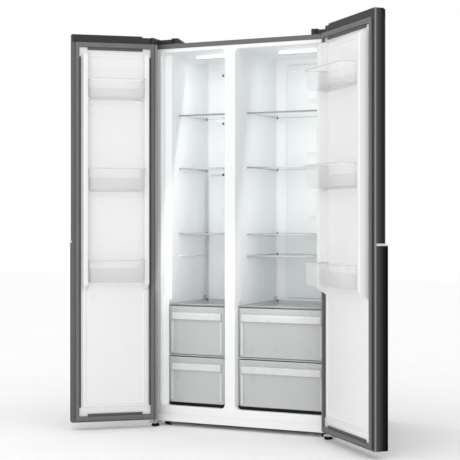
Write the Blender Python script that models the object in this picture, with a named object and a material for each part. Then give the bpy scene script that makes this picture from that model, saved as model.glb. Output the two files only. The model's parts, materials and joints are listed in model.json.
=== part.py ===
"""Side by side refrigerator, shown with both doors swung open.

Metres, +Z up. X runs to the right seen from the front, Y from the doors to the back, Z up from the floor.
While it is modelled, y = 0 is the cabinet's front face and x = 0 its middle. place_origin() then moves the
whole object so that its origin lies on the floor, under the middle of its bounding box.
"""

import math

import bmesh
import bpy
from mathutils import Matrix, Vector

# Clearances
GAP = 0.0003  # between pieces that touch
TURN = 0.0006  # round pins and stubs that turn
SLIDE = 0.0015  # beside pieces that slide or lift
CUT = 0.010  # how far a cutter runs past the face that it opens

# Cabinet
WIDTH = 0.910
DEPTH = 0.570
TOP = 1.758
BOTTOM = 0.020
STEEL = 0.001
TOP_STRIP = 0.022  # dark edge of the shell that shows above the white frame
SIDE_STRIP = 0.008
FRAME_T = 0.002
KICK_H = 0.034
FOAM_RISE = 0.020  # from the cabinet's bottom to its insulation

# Compartments, measured at the front frame
MOUTH_INSET = 0.044
MOUTH_DROP = 0.039
SILL_RISE = 0.073  # from the cabinet's bottom to the compartments
MULLION_X = -0.0615
MULLION_W = 0.051
MOUTH_R = 0.020
MOUTH_DEPTH = 0.040  # straight stretch that takes the door's dikes
DRAWER_MOUTH_DEPTH = 0.012
MOUTH_SLANT = 0.012
FREEZER_INSETS = (0.027, 0.004)  # how far the left and right walls stand in from the mouth
FRIDGE_INSETS = (0.004, 0.006)
FREEZER_BACK_WALL = 0.135  # from the compartment's back to the cabinet's back
FRIDGE_BACK_WALL = 0.105
LINER_T = 0.0025
CORNER_R = 0.018
BAY_DEPTH = 0.240  # machine bay, at the bottom of the back
BAY_H = 0.270
BAY_WALL = 0.030  # insulation between the bay and the compartments
BAY_ROOF = 0.035
STEP_OVERLAP = 0.004  # shared height of the solids that make up a compartment

# Shelves and drawers
DRAWER_FRONT_Y = 0.015
DRAWER_LIFT = 0.015  # from the sill to the lower drawer
DRAWER_SPLIT = 0.012  # between the drawers
DRAWER_CLEARANCE = 0.005  # over the ledge that the upper drawer slides on
UPPER_DRAWER_H = 0.220
DRAWER_HEADROOM = 0.004
DRAWER_ZONE_RISE = 0.013  # the drawers' part of the walls goes this far above the glass over them
DRAWER_WALL = 0.0025
DRAWER_CORNER = 0.012
DRAWER_LIP = 0.012
DRAWER_LIP_H = 0.030
DRAWER_RIM_DROP = 0.001  # from the drawer's rim to its lip
FREEZER_DRAWER_SIDES = (0.002, 0.002)
FRIDGE_DRAWER_SIDES = (0.004, 0.008)  # more on the right, to pass the open door
GLASS = 0.004
SHELF_CLEARANCE = 0.017  # from the closed doors' bins to the shelves
SHELF_TRIM = (0.006, 0.008)
SHELF_SIDE = 0.001
SHELF_CORNER = 0.0108  # cut off a shelf's back corners
SHELF_LEVELS = (0.759, 0.543, 0.279, 0.193)  # shares of the height from the drawers' glass to the ceiling
FREEZER_SHELVES = ("top", "middle", "lower")  # the fourth pair of rails is empty
FRIDGE_SHELVES = ("top", "middle", "lower", "bottom")
RAIL = (0.007, 0.007)  # how far a shelf rail stands out, and its height

# Air ducts and light
DUCT_SHARE = 0.600  # height of the freezer's duct cover, as a share of the space over the machine bay
DUCT_T = 0.0025
DUCT_SLOT_INSET = 0.040
DUCT_SLOTS = (3, 0.045, 0.030, 0.008)  # number, rise of the first over the drawers' glass, pitch, height
FREEZER_DUCT_DEPTH = 0.033
FRIDGE_DUCT_DEPTH = 0.009
FRIDGE_DUCT_INSET = 0.055
FRIDGE_DUCT_ENDS = (0.012, 0.030)  # over the drawers' glass, and under the ceiling
FRIDGE_SLOT_INSET = 0.050
FRIDGE_SLOTS = (2, 0.060, 0.035, 0.007)  # number, drop of the first from the panel's top, pitch, height
DUCT_FAN_DROP = 0.020  # from the duct cover's top to the fan's blades
DUCT_FAN_DEPTH = 0.014
DUCT_FAN_GAP = 0.005
DUCT_PIN_GAP = 0.006
EVAPORATOR_INSET = (0.012, 0.004, 0.020)  # from the duct cover's sides, front and back, and floor
EVAPORATOR_DROP = 0.030  # from the fan's blades to the evaporator
LAMP = (0.188, 0.020, 0.006)
LAMP_Y = 0.190
LAMP_INSET = 0.025
LAMP_R = 0.006
FAN_HUB_R = 0.018
FAN_PIN_R = 0.004
BLADE_CHORD = 0.52  # share of the fan's radius
BLADE_RISE = 0.42  # half the blade's height, as a share of the fan's depth
BLADE_T = 0.0016

# Doors
DOOR_LIFT = 0.013  # from the cabinet's bottom to the door's
DOOR_RISE = 0.027  # from the cabinet's top to the door's
CAP_H = 0.035
DOOR_T = 0.060
DOOR_STANDOFF = 0.012  # from the cabinet's front to the door's inner face
DOOR_SPLIT = 0.004
LEFT_OPEN = math.radians(139.7)
RIGHT_OPEN = math.radians(134.8)
PIN_INSET = 0.018
PIN_R = 0.005
SKIN_LIP = 0.008
SKIN_SILL = 0.006
LINER_FLANGE = 0.002
GASKET_INSET = 0.016
GASKET_W = 0.024
GASKET_TOP_W = 0.034
GASKET_BOTTOM_W = 0.031
GASKET_T = 0.0105
GASKET_FOOT = 0.007  # from the door's bottom to the gasket
GASKET_R = (0.004, 0.006)  # its corners outside and inside
DIKE_CLEARANCE = 0.002  # from the mouth to the dike at the hinge
DIKE_W = 0.0215
DIKE_OUT = 0.045
DIKE_FOOT = 0.625
DIKE_TOP_DROP = 0.080
DIKE_SLOPE = 0.030
DIKE_R = 0.030
DIKE_CHAMFER = 0.008  # on the dikes' long front edges
GRIP_BOTTOM = 0.850
GRIP_W = 0.024
GRIP_DEPTH = 0.018
GRIP_HOOK = 0.008
GRIP_LIP = (0.003, 0.009)  # thickness of the panel that the fingers hook behind, at its edge and its root

# Door bins
BIN_OUT = 0.115
BIN_R = 0.020
BIN_BACK_R = 0.006
BIN_WALL = 0.0022
BIN_WALL_CLEARANCE = 0.003  # from the compartment's wall to the bins of the closed door
BIN_LEVELS = (0.806, 0.422, 0.042)  # shares of the dikes' height
BIN_HEIGHTS = (0.085, 0.098, 0.097)
BIN_NAMES = ("top", "middle", "bottom")
LUG = (0.012, 0.024, 0.006)
LUG_INSET = 0.010

# Hinges and feet
HINGE_PLATE = 0.004
HINGE_ARM = 0.011
TOP_HINGE_LIFT = 0.0015
COVER_H = 0.026
COVER_T = 0.002
COVER_BLOCK = (0.121, 0.004, 0.086)  # width, front and back of the block behind the arm
COVER_SIDE = 0.004
COVER_R = (0.004, 0.014)  # its corners beside the arm, and the other two
COVER_ROOM = 0.002  # inside the cover, round the hinge
ARM_ROOT = 0.008  # how far the arms of the hinge and its cover run into their blocks
NOSE_GAP = 0.0005  # from the hinge's arm to its cover
NOTCH_CLEARANCE = 0.001  # under the cover, where the door's cap is lower round the pin
CAP_STEP = (0.052, 0.006)  # next to the notch the cap is a little lower: as far as this from the pin
PIN_ENGAGE = 0.022
SPACER_R = 0.009
FOOT_OFFSET = (0.012, 0.010)  # foot's stud from the hinge pin
FOOT_R = 0.018
FOOT_H = 0.010
FOOT_CHAMFER = 0.002
FOOT_NECK = 0.005
FOOT_PLATE_R = 0.010
FOOT_PLATE_EDGE = 0.002
FOOT_PLATE_REACH = 0.055  # behind the cabinet's front
COLLAR_GAP = 0.0005
STUD_DROP = 0.003  # from the door to the stud's top
STUD_R = 0.004
ROLLER_LIFT = 0.004  # from a roller's axle to the cabinet's bottom
ROLLER_W = 0.024
ROLLER_CHAMFER = 0.002
ROLLER_ROOM = (0.001, 0.002)  # beside the roller, and in front of and behind it
ROLLER_X_INSET = 0.068
ROLLER_Y = 0.026
REAR_ROLLER_INSET = 0.036
STUB_R = 0.003
EAR_T = 0.002
STUB_END = 0.0015  # how far a stub passes its ear

# Machine bay
PAN_T = 0.002
COMPRESSOR_R = 0.082
COMPRESSOR_H = 0.180
CONDENSER = (0.210, 0.150, 0.150)
FINS = 13
FIN_T = 0.002
FIN_SPINE = 0.004
COMPRESSOR_LIFT = 0.008
COMPRESSOR_CORNER = 0.030
COMPRESSOR_PLATE = (0.006, 0.040, 0.012)  # past the body's side, half its depth, its thickness
CONDENSER_INSET = 0.105
BAY_FAN_R = 0.070
BAY_FAN_DEPTH = 0.020
BAY_FAN_GAP = 0.030  # from the condenser to the fan's middle
MOTOR_R = 0.028
MOTOR = (0.022, 0.070)  # its ends, from the fan's middle
MOTOR_POST = (0.008, 0.018)  # in from the motor's ends, half its depth
VENT_SLOT = (0.090, 0.008)
VENT_COLUMNS = 6
VENT_ROWS = 3
VENT_RISE = 0.070
VENT_PITCH = 0.050
DUCT_FAN_R = 0.058
BLADES = 5

# Places that follow from the sizes above
HALF = WIDTH / 2
MOUTH_TOP = TOP - MOUTH_DROP
SILL = BOTTOM + SILL_RISE
KICK_TOP = BOTTOM + KICK_H
BAY_TOP = BOTTOM + BAY_H
ROLLER_R = BOTTOM - ROLLER_LIFT
FREEZER_MOUTH = (-HALF + MOUTH_INSET, MULLION_X - MULLION_W / 2)
FRIDGE_MOUTH = (MULLION_X + MULLION_W / 2, HALF - MOUTH_INSET)
FREEZER_WALLS = (FREEZER_MOUTH[0] + FREEZER_INSETS[0], FREEZER_MOUTH[1] - FREEZER_INSETS[1])
FRIDGE_WALLS = (FRIDGE_MOUTH[0] + FRIDGE_INSETS[0], FRIDGE_MOUTH[1] - FRIDGE_INSETS[1])
FREEZER_BACK = DEPTH - FREEZER_BACK_WALL
FRIDGE_BACK = DEPTH - FRIDGE_BACK_WALL
BAY_FRONT = DEPTH - BAY_DEPTH
LOWER_BACK = BAY_FRONT - BAY_WALL
LOWER_TOP = BAY_TOP + BAY_ROOF
LOWER_FLOOR = SILL + DRAWER_LIFT
UPPER_FLOOR = LOWER_TOP + DRAWER_CLEARANCE
LOWER_DRAWER_H = UPPER_FLOOR - DRAWER_SPLIT - LOWER_FLOOR
DRAWER_COVER_Z = UPPER_FLOOR + UPPER_DRAWER_H + DRAWER_HEADROOM + SHELF_TRIM[1]  # top of the glass over them
DRAWER_ZONE_TOP = DRAWER_COVER_Z + DRAWER_ZONE_RISE
SHELF_FRONT_Y = BIN_OUT - DOOR_STANDOFF + SHELF_CLEARANCE
PAN_TOP = BOTTOM + GAP + PAN_T
DOOR_BOTTOM = BOTTOM + DOOR_LIFT
DOOR_TOP = TOP + DOOR_RISE
DOOR_INNER_Y = -DOOR_STANDOFF
PIN_Y = DOOR_INNER_Y - DOOR_T / 2
PIN_X = HALF - PIN_INSET
LEFT_DOOR_W = MULLION_X - DOOR_SPLIT / 2 + HALF
RIGHT_DOOR_W = HALF - MULLION_X - DOOR_SPLIT / 2
CAP_Z = DOOR_TOP - CAP_H
DIKE_SKEW = 2 - math.sqrt(2)  # keeps a dike's chamfered wall as thick as its other walls
FACE = DOOR_T / 2  # inner face of a door, measured from its pin
DIKE_TOP = DOOR_TOP - DIKE_TOP_DROP
DIKE_INSET = MOUTH_INSET + DIKE_CLEARANCE
BIN_INSET = DIKE_INSET + DIKE_W + SLIDE  # from either edge of a door, or more to pass the hinge's side wall
WALL_INSETS = {"left": MOUTH_INSET + FREEZER_INSETS[0], "right": MOUTH_INSET + FRIDGE_INSETS[1]}
NOSE_R = HINGE_ARM + COVER_T + NOSE_GAP
FREEZER_DUCT_TOP = LOWER_TOP + DUCT_SHARE * (MOUTH_TOP - LOWER_TOP)


# ---------------------------------------------------------------- materials


def material(name, colour, roughness, metallic=0.0, alpha=1.0):
    made = bpy.data.materials.new(name)
    made.use_nodes = True
    shader = made.node_tree.nodes["Principled BSDF"]
    shader.inputs["Base Color"].default_value = (*colour, 1.0)
    shader.inputs["Roughness"].default_value = roughness
    shader.inputs["Metallic"].default_value = metallic
    shader.inputs["Alpha"].default_value = alpha
    return made


def make_materials():
    return {
        "dark_steel": material("dark_steel", (0.10, 0.10, 0.11), 0.35, 0.9),
        "grey_steel": material("grey_steel", (0.35, 0.35, 0.36), 0.40, 0.8),
        "white_steel": material("white_steel", (0.88, 0.89, 0.89), 0.30),
        "zinc_steel": material("zinc_steel", (0.55, 0.56, 0.58), 0.35, 1.0),
        "white_liner": material("white_liner", (0.86, 0.87, 0.87), 0.30),
        "foam": material("foam", (0.80, 0.72, 0.45), 0.90),
        "dark_plastic": material("dark_plastic", (0.05, 0.05, 0.055), 0.45),
        "black_plastic": material("black_plastic", (0.01, 0.01, 0.01), 0.50),
        "grey_rubber": material("grey_rubber", (0.16, 0.16, 0.165), 0.60),
        "clear_glass": material("clear_glass", (0.85, 0.92, 0.90), 0.05, 0.0, 0.35),
        "clear_plastic": material("clear_plastic", (0.80, 0.82, 0.83), 0.15, 0.0, 0.40),
        "lamp_lens": material("lamp_lens", (0.95, 0.96, 1.0), 0.30),
        "compressor_black": material("compressor_black", (0.015, 0.015, 0.015), 0.35, 0.3),
        "fin_aluminium": material("fin_aluminium", (0.75, 0.76, 0.77), 0.35, 1.0),
    }


# ---------------------------------------------------------------- modelling tools


def arc(x, y, radius, start, end, steps):
    """Points on an arc, from start to end in degrees."""
    turns = [math.radians(start + (end - start) * i / steps) for i in range(steps + 1)]
    return [(x + radius * math.cos(t), y + radius * math.sin(t)) for t in turns]


def circle(x, y, radius, sides=24):
    return arc(x, y, radius, 0, 360, sides)[:-1]


def rectangle(x, y):
    return [(x[0], y[0]), (x[1], y[0]), (x[1], y[1]), (x[0], y[1])]


def rounded(x, y, radii, steps=4):
    """A rectangle whose corners have these radii, from the low corner round to the left."""
    corners = ((x[0], y[0], 1, 1), (x[1], y[0], -1, 1), (x[1], y[1], -1, -1), (x[0], y[1], 1, -1))
    points = []
    for i, ((cx, cy, dx, dy), r) in enumerate(zip(corners, radii)):
        if r:
            points += arc(cx + dx * r, cy + dy * r, r, 180 + 90 * i, 270 + 90 * i, steps)
        else:
            points.append((cx, cy))
    return points


def offset(outline, distance):
    """The outline moved outwards by distance, its corners kept sharp. It runs anticlockwise."""
    moved = []
    for i, point in enumerate(outline):
        p = Vector(point)
        before = (p - Vector(outline[i - 1])).normalized()
        after = (Vector(outline[(i + 1) % len(outline)]) - p).normalized()
        out_before = Vector((before.y, -before.x))
        out_after = Vector((after.y, -after.x))
        reach = (out_before + out_after) / (1 + out_before.dot(out_after))
        moved.append(tuple(p + reach * distance))
    return moved


PLACES = {
    "X": lambda a, b, along: (along, a, b),
    "Y": lambda a, b, along: (a, along, b),
    "Z": lambda a, b, along: (a, b, along),
}


def prism(outline, axis, span):
    """A closed solid: the outline drawn in the plane across axis, extruded over span."""
    bm = bmesh.new()
    place = PLACES[axis]
    ends = [[bm.verts.new(place(a, b, along)) for a, b in outline] for along in span]
    bm.faces.new(ends[0])
    bm.faces.new(ends[1])
    for i in range(len(outline)):
        j = (i + 1) % len(outline)
        bm.faces.new((ends[0][i], ends[0][j], ends[1][j], ends[1][i]))
    return bm


def block(x, y, z):
    return prism(rectangle(x, y), "Z", z)


def turned(profile, sides=24):
    """A solid of revolution about Z. The profile's points are (radius, z), and both ends lie on the axis."""
    bm = bmesh.new()
    points = [bm.verts.new((r, 0.0, z)) for r, z in profile]
    edges = [bm.edges.new(pair) for pair in zip(points, points[1:])]
    bmesh.ops.spin(
        bm,
        geom=points + edges,
        cent=(0, 0, 0),
        axis=(0, 0, 1),
        angle=2 * math.pi,
        steps=sides,
        use_merge=True,
    )
    bmesh.ops.remove_doubles(bm, verts=bm.verts, dist=1e-6)
    return bm


class Model:
    """Makes the scene's objects: pieces that stay, and hidden tools that shape them."""

    def __init__(self):
        self.materials = make_materials()
        self.root = self.empty("refrigerator", (0, 0, 0))

    def empty(self, name, at, parent=None, turn=0.0):
        made = bpy.data.objects.new(name, None)
        made.location = at
        made.rotation_euler = (0, 0, turn)
        made.parent = parent
        made.empty_display_size = 0.05
        bpy.context.collection.objects.link(made)
        return made

    def piece(self, name, bm, finish, parent=None, at=(0, 0, 0), hand=1):
        """An object with its own mesh. hand = -1 mirrors it in X, for the right door."""
        bmesh.ops.scale(bm, vec=(hand, 1, 1), verts=bm.verts)
        bmesh.ops.recalc_face_normals(bm, faces=bm.faces)
        mesh = bpy.data.meshes.new(name)
        bm.to_mesh(mesh)
        bm.free()
        mesh.shade_smooth()
        mesh.set_sharp_from_angle(angle=math.radians(30))
        if finish:
            mesh.materials.append(self.materials[finish])
        made = bpy.data.objects.new(name, mesh)
        made.parent = parent or self.root
        made.location = at
        bpy.context.collection.objects.link(made)
        return made

    def shape(self, target, operation, shapes, hand=1, at=(0, 0, 0)):
        """Cuts shapes from the target, or joins them to it, each with a Boolean modifier."""
        for bm in shapes:
            number = len(target.modifiers) + 1
            tool = self.piece(f"{target.name}_tool_{number}", bm, None, target.parent, at, hand)
            self.use(target, operation, tool)

    def use(self, target, operation, tool):
        tool.hide_render = True
        tool.display_type = "WIRE"
        modifier = target.modifiers.new(f"{operation.lower()} {tool.name}", "BOOLEAN")
        modifier.operation = operation
        modifier.solver = "EXACT"
        modifier.object = tool

    def cut(self, target, *shapes, hand=1, at=(0, 0, 0)):
        self.shape(target, "DIFFERENCE", shapes, hand, at)

    def join(self, target, *shapes, hand=1, at=(0, 0, 0)):
        self.shape(target, "UNION", shapes, hand, at)


# ---------------------------------------------------------------- compartments


def section(mouth, walls, back, mouth_depth, front, grow):
    """Horizontal section of a compartment: mouth, slant to the inner walls, round back corners."""
    slant = mouth_depth + MOUTH_SLANT
    outline = [(mouth[0], front), (mouth[1], front), (mouth[1], mouth_depth), (walls[1], slant)]
    outline += arc(walls[1] - CORNER_R, back - CORNER_R, CORNER_R, 0, 90, 4)
    outline += arc(walls[0] + CORNER_R, back - CORNER_R, CORNER_R, 90, 180, 4)
    outline += [(walls[0], slant), (mouth[0], mouth_depth)]
    moved = offset(outline, grow)
    return [(x, front) for x, _ in moved[:2]] + moved[2:]


def compartment(mouth, walls, back, front, grow=0.0):
    """The solids that together fill a compartment, grown on all sides but its front."""
    upper = section(mouth, walls, back, MOUTH_DEPTH, front, grow)
    drawers = section(mouth, walls, back, DRAWER_MOUTH_DEPTH, front, grow)
    lower = section(mouth, walls, LOWER_BACK, DRAWER_MOUTH_DEPTH, front, grow)
    shared = STEP_OVERLAP
    return [
        prism(upper, "Z", (DRAWER_ZONE_TOP - grow, MOUTH_TOP + grow)),
        prism(drawers, "Z", (LOWER_TOP - grow, DRAWER_ZONE_TOP + shared)),
        prism(lower, "Z", (SILL - grow, LOWER_TOP + shared + 2 * grow)),
    ]


def shelf_heights():
    return [DRAWER_COVER_Z + share * (MOUTH_TOP - DRAWER_COVER_Z) for share in SHELF_LEVELS]


def rails(walls, back):
    """Rails on both walls under each shelf and under the glass over the drawers."""
    out, height = RAIL
    made = []
    for top in [*shelf_heights(), DRAWER_COVER_Z]:
        span = (top - GLASS - GAP - height, top - GLASS - GAP)
        y = (SHELF_FRONT_Y + out, back - CORNER_R)
        made.append(block((walls[0] - LINER_T / 2, walls[0] + out), y, span))
        made.append(block((walls[1] - out, walls[1] + LINER_T / 2), y, span))
    return made


def make_liner(model, name, mouth, walls, back):
    front = FRAME_T + GAP
    outer = compartment(mouth, walls, back, front, LINER_T)
    liner = model.piece(name, outer[0], "white_liner")
    model.join(liner, *outer[1:])
    model.cut(liner, *compartment(mouth, walls, back, front - CUT))
    model.join(liner, *rails(walls, back))
    return liner


def make_shelf(model, name, walls, back, top, front=SHELF_FRONT_Y):
    trim_depth, trim_height = SHELF_TRIM
    outline = [
        (front, top - trim_height),
        (front + trim_depth, top - trim_height),
        (front + trim_depth, top - GLASS),
        (back - SHELF_SIDE, top - GLASS),
        (back - SHELF_SIDE, top),
        (front, top),
    ]
    span = (walls[0] + SHELF_SIDE, walls[1] - SHELF_SIDE)
    shelf = model.piece(name, prism(outline, "X", span), "clear_glass")
    corner = SHELF_CORNER
    for x, side in ((span[0], 1), (span[1], -1)):
        wedge = [(x - side * CUT, back - corner), (x, back - corner), (x + side * corner, back)]
        wedge += [(x + side * corner, back + CUT), (x - side * CUT, back + CUT)]
        model.cut(shelf, prism(wedge, "Z", (top - CUT, top + CUT)))


def make_drawer(model, name, walls, sides, back, floor, height):
    x = (walls[0] + sides[0], walls[1] - sides[1])
    y = (DRAWER_FRONT_Y, back - CORNER_R)
    front_corner = DRAWER_CORNER / 3
    outer = rounded(x, y, (front_corner, front_corner, DRAWER_CORNER, DRAWER_CORNER), 3)
    top = floor + height
    drawer = model.piece(name, prism(outer, "Z", (floor, top)), "clear_plastic")
    rim = top - DRAWER_RIM_DROP
    hook = [
        (y[0] + DRAWER_WALL / 2, rim - DRAWER_WALL),
        (y[0] - DRAWER_LIP + DRAWER_WALL, rim - DRAWER_WALL),
        (y[0] - DRAWER_LIP + DRAWER_WALL, top - DRAWER_LIP_H),
        (y[0] - DRAWER_LIP, top - DRAWER_LIP_H),
        (y[0] - DRAWER_LIP, rim),
        (y[0] + DRAWER_WALL / 2, rim),
    ]
    inset = DRAWER_CORNER / 2
    model.join(drawer, prism(hook, "X", (x[0] + inset, x[1] - inset)))
    model.cut(drawer, prism(offset(outer, -DRAWER_WALL), "Z", (floor + DRAWER_WALL, top + CUT)))


def make_freezer_duct(model):
    """Cover over the evaporator: a tray open to the back wall, with air slots and a pin for the fan."""
    x = (FREEZER_WALLS[0] + CORNER_R, FREEZER_WALLS[1] - CORNER_R)
    y = (FREEZER_BACK - FREEZER_DUCT_DEPTH, FREEZER_BACK - GAP)
    z = (LOWER_TOP + GAP, FREEZER_DUCT_TOP)
    cover = model.piece("freezer_duct_cover", block(x, y, z), "white_liner")
    inner_x = (x[0] + DUCT_T, x[1] - DUCT_T)
    inner_z = (z[0] + DUCT_T, z[1] - DUCT_T)
    model.cut(cover, block(inner_x, (y[0] + DUCT_T, y[1] + CUT), inner_z))
    fan_x = sum(x) / 2
    fan_z = z[1] - DUCT_FAN_R - DUCT_FAN_DROP
    pin = prism(circle(fan_x, fan_z, FAN_PIN_R, 16), "Y", (y[0] + DUCT_T / 2, y[1] - DUCT_PIN_GAP))
    model.join(cover, pin)
    slot_x = (x[0] + DUCT_SLOT_INSET, x[1] - DUCT_SLOT_INSET)
    count, rise, pitch, height = DUCT_SLOTS
    for row in range(count):
        low = DRAWER_COVER_Z + rise + row * pitch
        model.cut(cover, block(slot_x, (y[0] - CUT, y[0] + CUT), (low, low + height)))
    fan_y = y[0] + DUCT_T + DUCT_FAN_GAP + DUCT_FAN_DEPTH / 2
    make_fan(model, "evaporator_fan", DUCT_FAN_R, DUCT_FAN_DEPTH, (fan_x, fan_y, fan_z), "Y")
    side, face, foot = EVAPORATOR_INSET
    evaporator_z = (z[0] + foot, fan_z - DUCT_FAN_R - EVAPORATOR_DROP)
    coil_x = (inner_x[0] + side, inner_x[1] - side)
    coil_y = (y[0] + DUCT_T + face, y[1] - face)
    comb = comb_outline(coil_x, coil_y[0], coil_y[1], FINS)
    model.piece("evaporator", prism(comb, "Z", evaporator_z), "fin_aluminium")


def make_fridge_duct(model):
    """Shallow panel up the back of the fridge compartment, open behind, with air slots near its top."""
    x = (FRIDGE_WALLS[0] + FRIDGE_DUCT_INSET, FRIDGE_WALLS[1] - FRIDGE_DUCT_INSET)
    y = (FRIDGE_BACK - FRIDGE_DUCT_DEPTH, FRIDGE_BACK - GAP)
    z = (DRAWER_COVER_Z + FRIDGE_DUCT_ENDS[0], MOUTH_TOP - FRIDGE_DUCT_ENDS[1])
    cover = model.piece("fridge_duct_cover", block(x, y, z), "white_liner")
    inner = block(
        (x[0] + DUCT_T, x[1] - DUCT_T), (y[0] + DUCT_T, y[1] + CUT), (z[0] + DUCT_T, z[1] - DUCT_T)
    )
    model.cut(cover, inner)
    slot_x = (x[0] + FRIDGE_SLOT_INSET, x[1] - FRIDGE_SLOT_INSET)
    count, drop, pitch, height = FRIDGE_SLOTS
    for row in range(count):
        low = z[1] - drop - row * pitch
        model.cut(cover, block(slot_x, (y[0] - CUT, y[0] + CUT), (low, low + height)))


def make_lamp(model, name, walls):
    width, depth, height = LAMP
    middle = sum(walls) / 2
    reach = min(width / 2, (walls[1] - walls[0]) / 2 - LAMP_INSET)
    outline = rounded((middle - reach, middle + reach), (LAMP_Y, LAMP_Y + depth), (LAMP_R,) * 4, 3)
    model.piece(name, prism(outline, "Z", (MOUTH_TOP - GAP - height, MOUTH_TOP - GAP)), "lamp_lens")


def make_interior(model):
    freezer = (FREEZER_MOUTH, FREEZER_WALLS, FREEZER_BACK)
    fridge = (FRIDGE_MOUTH, FRIDGE_WALLS, FRIDGE_BACK)
    make_liner(model, "freezer_liner", *freezer)
    make_liner(model, "fridge_liner", *fridge)
    freezer_shelf_back = FREEZER_BACK - FREEZER_DUCT_DEPTH
    fridge_shelf_back = FRIDGE_BACK - FRIDGE_DUCT_DEPTH
    for level, top in zip(FREEZER_SHELVES, shelf_heights()):
        make_shelf(model, f"freezer_shelf_{level}", FREEZER_WALLS, freezer_shelf_back, top)
    for level, top in zip(FRIDGE_SHELVES, shelf_heights()):
        make_shelf(model, f"fridge_shelf_{level}", FRIDGE_WALLS, fridge_shelf_back, top)
    cover_front = DRAWER_MOUTH_DEPTH + MOUTH_SLANT
    make_shelf(
        model, "freezer_drawer_cover", FREEZER_WALLS, freezer_shelf_back, DRAWER_COVER_Z, cover_front
    )
    make_shelf(model, "crisper_cover", FRIDGE_WALLS, fridge_shelf_back, DRAWER_COVER_Z, cover_front)
    for side, walls, sides, back in (
        ("freezer", FREEZER_WALLS, FREEZER_DRAWER_SIDES, freezer_shelf_back),
        ("fridge", FRIDGE_WALLS, FRIDGE_DRAWER_SIDES, fridge_shelf_back),
    ):
        make_drawer(model, f"{side}_drawer_upper", walls, sides, back, UPPER_FLOOR, UPPER_DRAWER_H)
        make_drawer(model, f"{side}_drawer_lower", walls, sides, LOWER_BACK, LOWER_FLOOR, LOWER_DRAWER_H)
    make_freezer_duct(model)
    make_fridge_duct(model)
    make_lamp(model, "freezer_lamp", FREEZER_WALLS)
    make_lamp(model, "fridge_lamp", FRIDGE_WALLS)


# ---------------------------------------------------------------- cabinet


def make_shell(model):
    shell = model.piece("cabinet_shell", block((-HALF, HALF), (0, DEPTH), (BOTTOM, TOP)), "dark_steel")
    inner = HALF - STEEL
    model.cut(shell, block((-inner, inner), (STEEL, DEPTH + CUT), (BOTTOM - CUT, TOP - STEEL)))
    opening = HALF - SIDE_STRIP
    model.cut(shell, block((-opening, opening), (-CUT, 2 * STEEL), (BOTTOM - CUT, TOP - TOP_STRIP)))


def make_front_frame(model):
    edge = HALF - SIDE_STRIP - GAP
    z = (KICK_TOP + GAP, TOP - TOP_STRIP - GAP)
    frame = model.piece("front_frame", block((-edge, edge), (0, FRAME_T), z), "white_steel")
    for mouth in (FREEZER_MOUTH, FRIDGE_MOUTH):
        window = rounded(mouth, (SILL, MOUTH_TOP), (MOUTH_R,) * 4)
        model.cut(frame, prism(window, "Y", (-CUT, CUT)))
    model.piece("kick_plate", block((-edge, edge), (0, FRAME_T), (BOTTOM, KICK_TOP)), "white_steel")


def make_foam(model):
    side = HALF - STEEL - GAP
    y = (FRAME_T + GAP, DEPTH - STEEL - GAP)
    foam = model.piece(
        "insulation_foam", block((-side, side), y, (BOTTOM + FOAM_RISE, TOP - STEEL - GAP)), "foam"
    )
    grow = LINER_T + GAP
    front = y[0] - CUT
    model.cut(foam, *compartment(FREEZER_MOUTH, FREEZER_WALLS, FREEZER_BACK, front, grow))
    model.cut(foam, *compartment(FRIDGE_MOUTH, FRIDGE_WALLS, FRIDGE_BACK, front, grow))
    model.cut(foam, block((-HALF, HALF), (BAY_FRONT, DEPTH), (0, BAY_TOP)))


def make_back(model):
    side = HALF - STEEL - GAP
    y = (DEPTH - STEEL, DEPTH)
    model.piece(
        "back_panel", block((-side, side), y, (BAY_TOP, TOP - STEEL - GAP)), "grey_steel"
    )
    cover = model.piece(
        "machine_cover", block((-side, side), y, (PAN_TOP + GAP, BAY_TOP - GAP)), "grey_steel"
    )
    width, height = VENT_SLOT
    pitch = 2 * side / (VENT_COLUMNS + 1)
    through = (y[0] - CUT, y[1] + CUT)
    for row in range(VENT_ROWS):
        low = PAN_TOP + VENT_RISE + row * VENT_PITCH
        for column in range(VENT_COLUMNS):
            x = -side + pitch * (column + 1)
            model.cut(cover, block((x - width / 2, x + width / 2), through, (low, low + height)))


def roller_places():
    x = HALF - ROLLER_X_INSET
    rear = DEPTH - REAR_ROLLER_INSET
    return {
        "front_roller_left": (-x, ROLLER_Y),
        "front_roller_right": (x, ROLLER_Y),
        "rear_roller_left": (-x, rear),
        "rear_roller_right": (x, rear),
    }


def make_base(model):
    side = HALF - STEEL - GAP
    z = (BOTTOM + GAP, PAN_TOP)
    y = (FRAME_T + GAP, DEPTH - STEEL - GAP)
    pan = model.piece("base_pan", block((-side, side), y, z), "zinc_steel")
    slot_x = ROLLER_W / 2 + ROLLER_ROOM[0]
    slot_y = ROLLER_R + ROLLER_ROOM[1]
    ear_y = 3 * STUB_R
    ear_z = (ROLLER_R - 2.5 * STUB_R, z[1] - PAN_T / 4)
    for name, (x, at_y) in roller_places().items():
        slot = block((x - slot_x, x + slot_x), (at_y - slot_y, at_y + slot_y), (z[0] - CUT, z[1] + CUT))
        model.cut(pan, slot)
        for out in (-1, 1):
            ear = sorted((x + out * slot_x, x + out * (slot_x + EAR_T)))
            model.join(pan, block(ear, (at_y - ear_y, at_y + ear_y), ear_z))
            hole = circle(at_y, ROLLER_R, STUB_R + TURN, 16)
            model.cut(pan, prism(hole, "X", (ear[0] - TURN, ear[1] + TURN)))
        make_roller(model, name, (x, at_y, ROLLER_R))
    make_machines(model, pan)


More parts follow.
